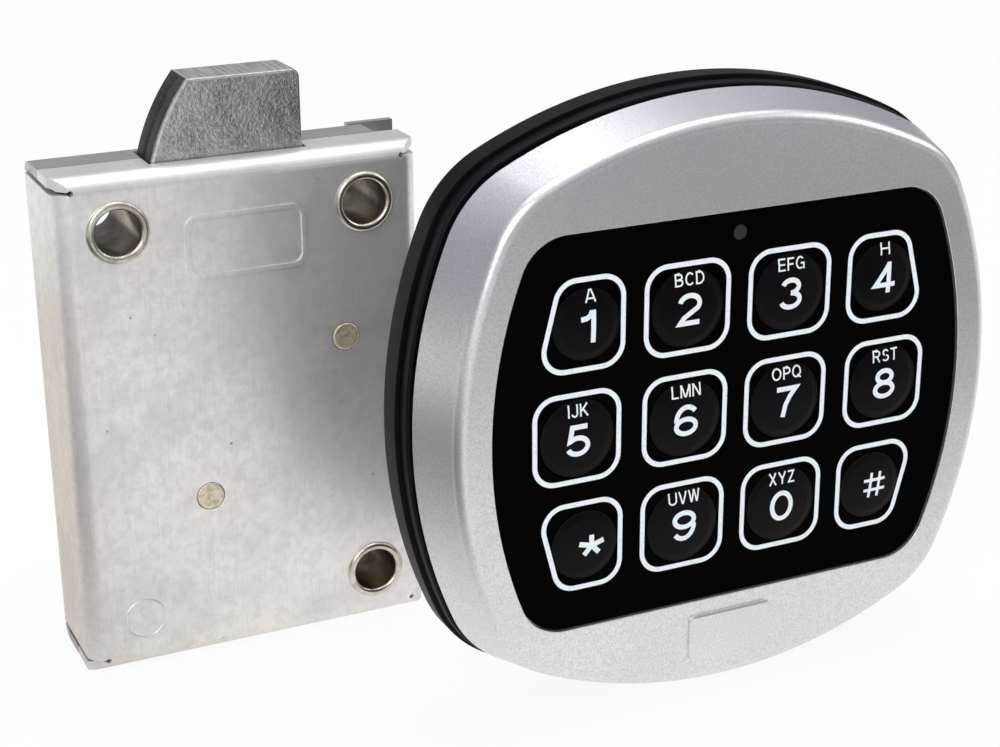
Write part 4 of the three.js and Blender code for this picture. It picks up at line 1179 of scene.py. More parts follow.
@dataclass
class Faceplate(Part):
    """The black plate over the housing's recess, with the frame printed round each key."""

    keys: Sequence[Key]
    led_radius: float = 1.25
    led_gap: float = 0.15
    led_rise: float = 0.28
    led_steps: int = 6
    edge: float = 0.12
    ink_thick: float = 0.03

    def build(self) -> None:
        """Makes the plate, its printed frames and the lamp's lens."""
        self.led = self.unit.middle("status_led")
        dress(smooth(self.plate(), 40), self.unit.body, ["overlay"])
        dress(smooth(self.frames(), 40), self.unit.body)
        dress(smooth(self.lens(), 50), self.unit.body, ["status_led"])

    def plate(self) -> Piece:
        """Makes the plate with its round key openings and the lamp's hole."""
        s, edge = KEYPAD, self.edge
        skin = Skin(self.unit)
        front, back = s.recess, s.recess + s.panel_thick
        soft = edge * EDGE_MIDDLE
        levels = ((edge, front), (soft, front + soft), (0.0, front + edge), (0.0, back))
        outer = skin.loft((s.panel.at(s.panel_gap + inset), depth) for inset, depth in levels)
        places = [(key.middle, key.radius + key.gap) for key in self.keys]
        holes = []
        for middle, radius in [*places, (self.led, self.led_radius + self.led_gap)]:
            levels = ((radius + edge / 2, front), (radius, front + edge / 2), (radius, back))
            hole = [skin.ring(circle(middle, wide), depth) for wide, depth in levels]
            skin.walls(hole[::-1])
            holes.append(hole)
        skin.flat(Side.FRONT, outer[0], *[hole[0] for hole in holes])
        skin.flat(Side.BACK, outer[-1], *[hole[-1] for hole in holes])
        return skin.piece("faceplate", self.finishes.faceplate)

    def frames(self) -> Piece:
        """Makes the printed frame round every key as one thin layer of ink."""
        made = None
        for key in self.keys:
            band = Band(key.frame_corner - key.line / 2, key.line, self.ink_thick, KEYPAD.recess)
            line = band.lay(self.unit, "printed_key_frames", key.frame_corners(), self.finishes.ink)
            made = join_meshes(made, line) if made else line
        return face_outwards(made)

    def lens(self) -> Piece:
        """Makes the lamp's slightly domed lens."""
        low, high = self.unit.box("status_led")
        radius, rise = self.led_radius, self.led_rise
        profile = arc((0.0, low.y + rise), radius, -math.pi / 2, 0, self.led_steps, rise)
        profile += [(radius, high.y), (0.0, high.y)]
        return turned(self.unit, "lamp_lens", profile, [self.led], self.finishes.lens)


# Characters on the keys, as strokes of an even pen in shares of the capitals' height


@dataclass(frozen=True)
class Arc:
    """A stretch of a stroke along an ellipse, from a start to an end in degrees."""

    x: float
    z: float
    across: float
    up: float
    start: float = 0
    end: float = 360

    def points(self) -> list[Point]:
        """Gives the points along the stretch."""
        steps = max(4, round(abs(self.end - self.start) / 12))
        turns = (math.radians(self.start), math.radians(self.end))
        return arc((self.x, self.z), self.across, *turns, steps, self.up)

    def turned_over(self) -> "Arc":
        """Gives the stretch as a 6 turned upside down to a 9 has it."""
        return Arc(DIGIT_WIDTH - self.x, 1 - self.z, self.across, self.up, self.start + 180, self.end + 180)


Stroke = tuple[Arc | Point, ...]
DIGIT_WIDTH = 0.7
LEFT = FOOT = 0.065
TOP = 1 - FOOT


def post(x: float = LEFT) -> Stroke:
    """Gives an upright."""
    return ((x, 0), (x, 1))


def bar(z: float, end: float) -> Stroke:
    """Gives a level stroke from the left upright to an end."""
    return ((LEFT, z), (end, z))


def lobe(x: float, z: float, across: float, up: float, start: float = LEFT) -> Stroke:
    """Gives a bow as a D has it, round a middle and back to the left upright."""
    return ((start, z + up), (x, z + up), Arc(x, z, across, up, 90, -90), (LEFT, z - up))


SIX: tuple[Stroke, ...] = ((Arc(0.35, 0.305, 0.265, 0.235),), (Arc(0.37, 0.5, 0.285, 0.43, 185, 40),))

DIGITS: dict[str, tuple[Stroke, ...]] = {
    "0": ((Arc(0.35, 0.5, 0.27, 0.435),),),
    "1": (post(0.42), ((0.10, 0.745), (0.24, 0.765), (0.34, 0.84), (0.38, 0.98))),
    "2": ((Arc(0.35, 0.675, 0.26, 0.255, 170, -35), (0.2, 0.25), (0.1, 0.072), (0.62, 0.072)),),
    "3": ((Arc(0.34, 0.727, 0.22, 0.203, 165, -90),), (Arc(0.34, 0.296, 0.255, 0.226, 90, -165),)),
    "4": (((0.66, 0.27), (0.09, 0.27), (0.47, 0.93)), post(0.47)),
    "5": (((0.58, 0.928), (0.19, 0.928), (0.13, 0.5), Arc(0.335, 0.328, 0.26, 0.257, 135, -160)),),
    "6": SIX,
    "7": (((0.08, 0.928), (0.62, 0.928), (0.45, 0.68), (0.33, 0.4), (0.27, 0)),),
    "8": ((Arc(0.35, 0.73, 0.21, 0.2),), (Arc(0.35, 0.298, 0.26, 0.228),)),
    "9": tuple(tuple(part.turned_over() for part in stroke) for stroke in SIX),
}

STEM = post()
BOWL: Stroke = (Arc(0.38, 0.5, 0.315, 0.435),)

# Each capital's width, and its strokes
LETTERS: dict[str, tuple[float, tuple[Stroke, ...]]] = {
    "A": (0.67, (((0.05, 0), (0.3, 1)), ((0.62, 0), (0.37, 1)), ((0.16, 0.3), (0.51, 0.3)))),
    "B": (0.64, (STEM, lobe(0.34, 0.725, 0.19, 0.21), lobe(0.35, 0.29, 0.22, 0.225, 0.3))),
    "C": (0.7, ((Arc(0.37, 0.5, 0.3, 0.435, 42, 318),),)),
    "D": (0.69, (STEM, lobe(0.3, 0.5, 0.31, 0.435))),
    "E": (0.58, (STEM, bar(TOP, 0.56), bar(0.51, 0.52), bar(FOOT, 0.57))),
    "F": (0.54, (STEM, bar(TOP, 0.54), bar(0.49, 0.48))),
    "G": (0.74, ((Arc(0.37, 0.5, 0.3, 0.435, 42, 300),), ((0.4, 0.46), (0.66, 0.46), (0.66, 0)))),
    "H": (0.67, (STEM, post(0.6), bar(0.52, 0.6))),
    "I": (0.13, (STEM,)),
    "J": (0.5, (((0.43, 1), Arc(0.245, 0.26, 0.185, 0.195, 0, -180)),)),
    "K": (0.64, (STEM, ((0.57, 1), (0.09, 0.42)), ((0.23, 0.58), (0.59, 0)))),
    "L": (0.54, (((LEFT, 1), *bar(FOOT, 0.54)),)),
    "M": (0.8, (STEM, post(0.735), ((0.09, 1), (0.38, 0.02)), ((0.71, 1), (0.42, 0.02)))),
    "N": (0.68, (STEM, post(0.615), ((0.09, 0.98), (0.59, 0.02)))),
    "O": (0.76, (BOWL,)),
    "P": (0.6, (STEM, lobe(0.34, 0.7, 0.2, 0.235))),
    "Q": (0.76, (BOWL, ((0.44, 0.24), (0.72, -0.02)))),
    "R": (0.64, (STEM, lobe(0.36, 0.71, 0.2, 0.225), ((0.34, 0.47), (0.58, 0)))),
    "S": (0.62, ((Arc(0.31, 0.72, 0.205, 0.215, 25, 250),), (Arc(0.31, 0.285, 0.23, 0.22, 78, -155),))),
    "T": (0.58, (((0, TOP), (0.58, TOP)), ((0.29, 0), (0.29, TOP)))),
    "U": (0.67, (((LEFT, 1), Arc(0.335, 0.335, 0.27, 0.27, 180, 360), (0.605, 1)),)),
    "V": (0.64, (((0.05, 1), (0.3, 0)), ((0.59, 1), (0.34, 0)))),
    "W": (
        0.92,
        (((0.05, 1), (0.24, 0)), ((0.45, 1), (0.26, 0)), ((0.47, 1), (0.66, 0)), ((0.87, 1), (0.68, 0))),
    ),
    "X": (0.64, (((0.07, 1), (0.57, 0)), ((0.57, 1), (0.07, 0)))),
    "Y": (0.64, (((0.05, 1), (0.32, 0.42)), ((0.59, 1), (0.32, 0.42)), ((0.32, 0.45), (0.32, 0)))),
    "Z": (0.6, (((0.04, TOP), (0.53, TOP), (0.08, FOOT), (0.56, FOOT)),)),
}


@dataclass
class Print:
    """Ink strokes laid on a key's domed face, with the pens, heights and places of its characters."""

    skin: Skin
    surface: Callable[[float, float], float]
    digit_height: float = 5.08
    digit_pen: float = 0.8
    digit_stretch: float = 1.28
    digit_drop: float = 0.2
    letter_height: float = 2.0
    letter_pen: float = 0.26
    letter_spacing: float = 0.13
    letter_rise: float = 4.55
    group_stretch: float = 1.13
    single_stretch: float = 1.42
    star_reach: float = 1.74
    star_pen: float = 0.84
    hash_pen: float = 0.5
    hash_half: Point = (2.05, 2.125)
    hash_lean: float = 0.12
    hash_spread: float = 0.4
    lift: float = 0.02
    layer_lift: float = 0.002
    thick: float = 0.04
    step: float = 0.35
    sharpest: float = 0.35

    def stroke(self, points: Sequence[Point], pen: float) -> None:
        """Adds one stroke of a pen's width with mitred corners, closed if it ends where it starts."""
        closed = math.dist(points[0], points[-1]) < MM
        fine: list[Point] = [points[0]]
        for start, end in zip(points, points[1:]):
            fine += [*along(start, end, math.ceil(math.dist(start, end) / self.step)), end]
        line = [Vector(p) for p in (fine[:-1] if closed else fine)]
        count = len(line)
        self.lift += self.layer_lift
        rings = []
        for i, here in enumerate(line):
            before = (here - line[i - 1]).normalized() if closed or i > 0 else None
            after = (line[(i + 1) % count] - here).normalized() if closed or i < count - 1 else None
            before, after = before or after, after or before
            side = Vector((-before.y - after.y, before.x + after.x))
            reach = pen / 2 / max(side.length_squared / 2, self.sharpest)
            start = len(self.skin.points)
            for height in (self.lift, self.lift - self.thick):
                for p in (here + side * reach, here - side * reach):
                    self.skin.points.append(Vector((p.x, self.surface(p.x, p.y) - height, p.y)))
            rings.append([start, start + 1, start + 3, start + 2])
        for first, second in zip(rings, [*rings[1:], *rings[: int(closed)]]):
            for j in range(4):
                k = (j + 1) % 4
                self.skin.faces.append([first[j], first[k], second[k], second[j]])
        if not closed:
            self.skin.faces += [rings[0][::-1], rings[-1]]

    def character(
        self, strokes: Sequence[Stroke], low: Point, height: float, pen: float, stretch: float
    ) -> None:
        """Draws a character.

        Args:
            strokes: Its strokes in shares of the height.
            low: Its lower left corner.
            height: Its height.
            pen: The pen's width.
            stretch: How much wider it is drawn.
        """
        for stroke in strokes:
            drawn: list[Point] = []
            for part in stroke:
                drawn += part.points() if isinstance(part, Arc) else [part]
            self.stroke([(low[0] + height * stretch * u, low[1] + height * v) for u, v in drawn], pen)

    def star(self, x: float, z: float) -> None:
        """Draws a star with five arms."""
        for i in range(5):
            turn = math.radians(90 + 72 * i)
            across = self.star_reach * self.digit_stretch * math.cos(turn)
            self.stroke([(x, z), (x + across, z + self.star_reach * math.sin(turn))], self.star_pen)

    def hash_sign(self, x: float, z: float) -> None:
        """Draws a hash with leaning uprights."""
        w, h = self.hash_half
        lean = self.hash_lean * w
        for share in (-self.hash_spread, self.hash_spread):
            u, v = share * w, share * h
            self.stroke([(x + u - lean, z - h), (x + u + lean, z + h)], self.hash_pen)
            self.stroke([(x - w, z + v), (x + w, z + v)], self.hash_pen)

    def digit(self, name: str, x: float, z: float) -> None:
        """Draws a numeral."""
        half = DIGIT_WIDTH * self.digit_stretch * self.digit_height / 2
        low = (x - half, z - self.digit_height / 2)
        self.character(DIGITS[name], low, self.digit_height, self.digit_pen, self.digit_stretch)

    def letters(self, group: str, x: float, z: float) -> None:
        """Draws a group of small capitals."""
        stretch = self.single_stretch if len(group) == 1 else self.group_stretch
        widths = [LETTERS[c][0] + self.letter_spacing for c in group]
        size = self.letter_height * stretch
        x -= size * (sum(widths) - self.letter_spacing) / 2
        for c, width in zip(group, widths):
            low = (x, z - self.letter_height / 2)
            self.character(LETTERS[c][1], low, self.letter_height, self.letter_pen, stretch)
            x += size * width

    def key(self, key: Key) -> None:
        """Draws what stands on a key."""
        x, z = Vector(key.frame_middle) + Vector(key.print_shift)
        low = z - self.digit_drop
        if key.digit in DIGITS:
            self.digit(key.digit, x, low)
        else:
            (self.star if key.digit == "*" else self.hash_sign)(x, low)
        if key.letters:
            self.letters(key.letters, x, z + self.letter_rise)


@dataclass
class KeySet(Part):
    """The twelve domed keys with their characters."""

    keys: Sequence[Key]
    top_steps: int = 4
    slope_steps: int = 9

    def build(self) -> None:
        """Makes every key and prints on it."""
        for key in self.keys:
            body = f"{key.node}_cap"
            dress(smooth(self.cap(key), 40), body, [key.node])
            dress(self.legend(key), body)

    def cap(self, key: Key) -> Piece:
        """Makes one key: a domed face, straight sides and a flange behind the faceplate."""
        x, z = key.middle
        top = key.radius - key.slope
        radii = [top * i / self.top_steps for i in range(self.top_steps)]
        radii += [top + key.slope * i / self.slope_steps for i in range(self.slope_steps + 1)]
        flange = KEYPAD.recess + key.thick
        back = flange + key.flange_thick
        wide = key.radius + key.flange_width
        profile = [(radius, KEYPAD.recess - key.rise_at(x + radius, z)) for radius in radii]
        profile += [(key.radius, flange), (wide, flange), (wide, back), (0.0, back)]
        return turned(self.unit, f"{key.node}_cap_moulding", profile, [key.middle], self.finishes.key)

    def legend(self, key: Key) -> Piece:
        """Prints a key's digit and letters."""
        ink = Print(Skin(self.unit), lambda x, z: KEYPAD.recess - key.rise_at(x, z))
        ink.key(key)
        return ink.skin.piece(f"{key.node}_print", self.finishes.ink)


@dataclass
class KeypadBase(Part):
    """The black base: a stepped rim, a floor with its holes, and the collar for the cover."""

    rim: BowedOutline = BowedOutline(51.75, 49.8, 80.4, 20.0)
    shoulder: float = 11.1
    step: float = 14.0
    step_profile: tuple[Point, ...] = ((0.7, -0.12), (0.8, 0.0), (0.08, 0.05), (0.0, 0.2))
    back: float = 18.7
    edge: float = 0.5
    edge_steps: int = 4
    floor: float = 2.2
    wall: float = 2.4
    lip: float = 3.3
    lip_thick: float = 1.5
    lip_edge: Point = (0.2, 0.3)
    slide: float = 0.3
    screw_x: float = 25.0
    screw_radius: float = 2.2
    sink_radius: float = 4.2
    cable_radius: float = 7.0
    cable_drop: float = 20.0

    def build(self) -> None:
        """Makes the base as one moulding."""
        dress(smooth(self.moulding(), 35), "lock_case", ["keypad_base"])

    def moulding(self) -> Piece:
        """Lofts the rim, the collar and the hollow as one closed band, with the floor's holes."""
        s, rim, inset = KEYPAD, self.rim, self.step_profile[0][0]
        floor, lip = self.back - self.floor, s.depth - self.lip
        outside = s.wall + self.slide
        levels = [
            (s.outline(lip).at(outside + self.lip_edge[0]), lip),
            (s.outline(lip + self.lip_edge[1]).at(outside), lip + self.lip_edge[1]),
            (s.outline(self.shoulder).at(outside), self.shoulder),
        ]
        rounding = eased(self.edge, self.edge_steps)
        levels += [(rim.at(inset + inwards), self.shoulder + depth) for inwards, depth in rounding]
        levels += [(rim.at(inwards), self.step + depth) for inwards, depth in self.step_profile]
        levels += [(rim.at(inwards), self.back - depth) for inwards, depth in rounding[::-1]]
        skin = Skin(self.unit)
        rings = skin.loft(levels)
        hollow = s.outline(self.shoulder).at(s.wall + self.wall)
        collar = s.outline(lip).at(outside + self.lip_thick)
        inner = [(hollow, floor), (hollow, self.shoulder), (collar, self.shoulder), (collar, lip)]
        inner_rings = [skin.ring(outline, depth) for outline, depth in inner]
        skin.walls([*inner_rings, rings[0]])
        holes = []
        for x in (-self.screw_x, self.screw_x):
            narrow, wide = (circle((x, 0), r, HOLE_STEPS) for r in (self.screw_radius, self.sink_radius))
            shelf = floor + self.floor / 2
            holes.append(skin.loft([(narrow, self.back), (narrow, shelf), (wide, shelf), (wide, floor)]))
        cable = circle((0, -self.cable_drop), self.cable_radius)
        holes.append(skin.loft([(cable, self.back), (cable, floor)]))
        skin.flat(Side.BACK, rings[-1], *[hole[0] for hole in holes])
        skin.flat(Side.FRONT, inner_rings[0], *[hole[-1] for hole in holes])
        return skin.piece("base_moulding", self.finishes.base)


# Lock


@dataclass
class LockCase(Part):
    """The folded front and rear sheets, with the screw sleeves and the riveted posts in them."""

    sheet: float = 1.5
    bend: float = 3.0
    bend_steps: int = 10
    burr: float = 0.12
    seam: float = 9.2
    seam_gap: float = 0.3
    bore_radius: float = 3.7
    sleeve_radius: float = 4.3
    sleeve_rim: float = 5.1
    sleeve_rise: float = 0.6
    sleeve_back: float = 0.5
    sleeve_steps: int = 14
    head_radius: float = 2.35
    head_rise: float = 0.15
    head_edge: float = 0.3
    head_steps: int = 5
    shank_radius: float = 2.0
    tail_radius: float = 1.5
    seat_gap: float = 0.1
    corner_slit: float = 0.9
    corner_kerf: float = 0.4
    relief_radius: float = 0.45
    notch_inset: float = 8.5
    notch_width: float = 8.4
    notch_back: float = 1.9
    ear_notch: float = 4.1
    ear_root: float = 2.0
    ear_slit: float = 0.4
    ear_drop: float = 7.0
    ear_reach: float = 2.2
    slot_end_gap: float = 0.5
    slot_side_gap: float = 0.4
    over: float = 2.0
    lap: float = 0.02
    badge: tuple[float, ...] = (-9.6, 10.0, 66.8, 76.7)
    badge_band: Band = Band(2.0, 0.7, 0.62, 0.0)
    mark: Point = (-20.8, 8.75)
    mark_radius: float = 3.4
    mark_width: float = 0.35
    mark_rise: float = 0.1
    sleeve_nodes: tuple[str, ...] = ("eyelet_top_left", "eyelet_top_right", "eyelet_bottom_right")
    post_nodes: tuple[str, ...] = ("upper_post", "lower_post")
    holes: list[Point] = field(init=False)
    posts: list[Point] = field(init=False)

    def __post_init__(self) -> None:
        """Reads the case's places from the frame."""
        high = self.unit.box("front_cover")[1]
        self.half, self.height = high.x, high.z
        self.depth = self.unit.box("rear_case")[1].y
        self.holes = [self.unit.middle(name) for name in self.sleeve_nodes]
        self.posts = [self.unit.middle(name) for name in self.post_nodes]
        self.kerf = self.sheet + self.corner_slit - self.corner_kerf

    def build(self) -> None:
        """Makes both sheets, the sleeves, the posts and the press marks."""
        front, rear = self.front(), self.rear()
        for made, node in ((front, "front_cover"), (rear, "rear_case")):
            dress(smooth(ease_edges(made, self.burr)), self.unit.body, [node])
        # The rear sheet gets the darker copy of the steel, as painted shade.
        refinish(rear, self.finishes.rear_steel)
        self.sleeves()
        self.rivets()
        self.stamps()

    def stamps(self) -> None:
        """Makes the marks that the press left in the front: an empty badge outline and a ring."""
        steel = self.finishes.steel
        badge = self.badge_band.lay(self.unit, "stamped_badge_outline", rectangle(*self.badge), steel)
        radius, width, rise = self.mark_radius, self.mark_width, self.mark_rise
        section = [(radius - width, rise), (radius, -rise), (radius + width, rise)]
        ring = turned(self.unit, "stamped_ring", section, [self.mark], steel)
        for made in (badge, ring):
            dress(smooth(made, 20), self.unit.body)

    def channel(self, name: str, face: float, opening: float) -> Piece:
        """Makes a sheet folded at its bottom and top, without its cuts.

        Args:
            name: The object's name.
            face: Depth of its flat face.
            opening: Depth of its open edges.

        Returns:
            The sheet.
        """
        way = 1 if opening > face else -1
        reach = abs(opening - face)
        upper = self.height - self.bend
        sides = []
        for inset in (0.0, self.sheet):
            radius = self.bend - inset
            low = arc((self.bend, self.bend), radius, -math.pi / 2, -math.pi, self.bend_steps)
            high = arc((self.bend, upper), radius, math.pi, math.pi / 2, self.bend_steps)
            sides.append([(reach, inset), *low, *high, (reach, self.height - inset)])
        section = [(face + way * d, z) for d, z in sides[0] + sides[1][::-1]]
        return prism(self.unit, section, -self.half, self.half, self.finishes.steel, Axis.ACROSS, name)

    def side_flange(self, side: int) -> Piece:
        """Makes one side flange with its fold, over the case's whole depth."""
        middle = (self.half - self.bend, self.bend)
        root = middle[0] - self.lap
        edge = self.sheet + self.corner_slit
        section = [(root, 0.0), *arc(middle, self.bend, -math.pi / 2, 0, self.bend_steps)]
        section += [(self.half, self.depth), (self.half - self.sheet, self.depth)]
        section += arc(middle, self.bend - self.sheet, 0, -math.pi / 2, self.bend_steps)
        section += [(root, self.sheet)]
        outline = [(side * x, depth) for x, depth in section]
        return prism(self.unit, outline, edge, self.height - edge, self.finishes.steel, Axis.UP)

    def front(self) -> Piece:
        """Makes the front sheet: side flanges to the back of the case, end flanges to the seam."""
        over, kerf = self.over, self.kerf
        opening = self.seam - self.seam_gap / 2
        fold = self.half - self.bend
        edge = self.half + over
        made = self.channel("front_sheet", 0.0, opening)
        for side in (-1, 1):
            beside = sorted((side * fold, side * edge))
            corner = [(side * (fold - over), -over), (side * edge, -over), (side * edge, self.bend + over)]
            tools = [
                self.cutter(beside, (-over, opening + over), (kerf, self.height - kerf)),
                prism(self.unit, corner, -over, self.height + over, self.finishes.steel, Axis.UP),
            ]
            combine(made, tools)
        combine(made, [self.side_flange(side) for side in (-1, 1)], "UNION")
        level = kerf + self.corner_kerf / 2
        reliefs = [(side * fold, z) for side in (-1, 1) for z in (level, self.height - level)]
        rounds = [(place, self.relief_radius, -over, self.bend) for place in reliefs]
        for places, radius in ((self.holes, self.sleeve_radius), (self.posts, self.head_radius)):
            rounds += [(place, radius + self.seat_gap, -over, self.sheet + over) for place in places]
        combine(made, [self.drill(*sizes) for sizes in rounds])
        return combine(made, [self.bolt_slot(), self.cable_notch(self.sheet, opening + over)])

    def rear(self) -> Piece:
        """Makes the rear plate with its end flanges; one corner is left flat as an ear."""
        over, kerf, height = self.over, self.kerf, self.height
        opening = self.seam + self.seam_gap / 2
        inside = self.depth - self.sheet
        plate = self.half - self.sheet - self.seam_gap
        edge = self.half + over
        depths, end = (opening - over, self.depth + over), (height - self.ear_drop, height + over)
        notch = self.half - self.ear_notch
        root = notch - self.ear_root
        made = self.channel("rear_sheet", self.depth, opening)
        cuts = [
            self.cutter((-edge, -plate), depths, (kerf, height - kerf)),
            self.cutter((plate, edge), depths, (kerf, height - kerf)),
            self.cutter((notch, edge), (opening - over, inside), end),
            self.cutter((root, notch + over), (inside - self.ear_slit, inside), end),
        ]
        combine(made, cuts)
        tip = self.half + self.ear_reach
        ear = [(root, end[0]), (plate, end[0]), (plate, height - kerf)]
        ear += [(tip, height - kerf), (tip, height), (root, height)]
        combine(made, [prism(self.unit, ear, inside, self.depth, self.finishes.steel)], "UNION")
        rounds = [(place, self.sleeve_radius) for place in self.holes]
        rounds += [(place, self.tail_radius) for place in self.posts]
        gap, start = self.seat_gap, inside - over
        combine(made, [self.drill(place, radius + gap, start, depths[1]) for place, radius in rounds])
        return combine(made, [self.bolt_slot(), self.cable_notch(depths[0], inside - self.notch_back)])

    def cutter(self, across: Sequence[float], depths: Point, heights: Point) -> Piece:
        """Makes a box to cut with, from its first and last place each way."""
        return prism(self.unit, rectangle(*across, *heights), *depths, self.finishes.steel)

    def drill(self, place: Point, radius: float, start: float, end: float) -> Piece:
        """Makes a round cutter between two depths."""
        return prism(self.unit, circle(place, radius), start, end, self.finishes.steel)

    def bolt_slot(self) -> Piece:
        """Makes the cutter for the bolt's slot in the top flanges."""
        low, high = self.unit.box("swing_bolt")
        x, z = self.unit.middle("eyelet_top_right")
        sweep = x - low.x
        left = x - math.sqrt(sweep**2 - (self.height - z) ** 2)
        tip = x - math.sqrt(sweep**2 - (high.z - z) ** 2) + SwingBolt.tip_width
        return self.cutter(
            (left - self.slot_end_gap, tip + self.slot_end_gap),
            (low.y - self.slot_side_gap, high.y + self.slot_side_gap),
            (self.height - self.bend, self.height + self.over),
        )

    def cable_notch(self, front: float, back: float) -> Piece:
        """Makes the cutter for the cable's notch in the bottom edge."""
        left = self.notch_inset - self.half
        heights = (-self.over, self.sheet + self.over)
        return self.cutter((left, left + self.notch_width), (front, back), heights)

    def sleeves(self) -> None:
        """Makes the three nickel sleeves with their rolled rims, with painted shade inside their bores."""
        bore, tube = self.bore_radius, self.sleeve_radius
        roll = (self.sleeve_rim - bore) / 2
        seat = roll - self.sleeve_rise
        profile = [(bore, self.depth), (bore, self.sleeve_back)]
        profile += arc((bore + roll, seat), roll, math.pi, math.tau, self.sleeve_steps)
        profile += [(tube, seat), (tube, self.depth)]
        made = turned(self.unit, "screw_sleeves", profile, self.holes, self.finishes.nickel)
        # Faces inside the bore get the darker nickel, as painted shade in the holes.
        refinish(made, self.finishes.nickel, self.finishes.bore)
        for face in made.data.polygons:
            at = self.unit.local(face.center)
            within = min(math.dist((at.x, at.z), hole) for hole in self.holes) < bore + roll / 4
            face.material_index = int(within and at.y > seat)
        dress(smooth(made, 50), self.unit.body, self.sleeve_nodes)

    def rivets(self) -> None:
        """Makes the two riveted posts, whose heads fill the front sheet's holes."""
        head, shank, tail = self.head_radius, self.shank_radius, self.tail_radius
        rise, edge = self.head_rise, self.head_edge
        foot = self.depth - self.sheet
        profile = [(0.0, -rise), (head - edge * 2, -rise)]
        profile += arc((head - edge, edge - rise), edge, math.pi * 1.5, math.tau, self.head_steps)
        profile += [(head, self.sheet), (shank, self.sheet), (shank, foot)]
        profile += [(tail, foot), (tail, self.depth), (0.0, self.depth)]
        made = turned(self.unit, "riveted_posts", profile, self.posts, self.finishes.rivet)
        dress(smooth(made, 50), self.unit.body, self.post_nodes)


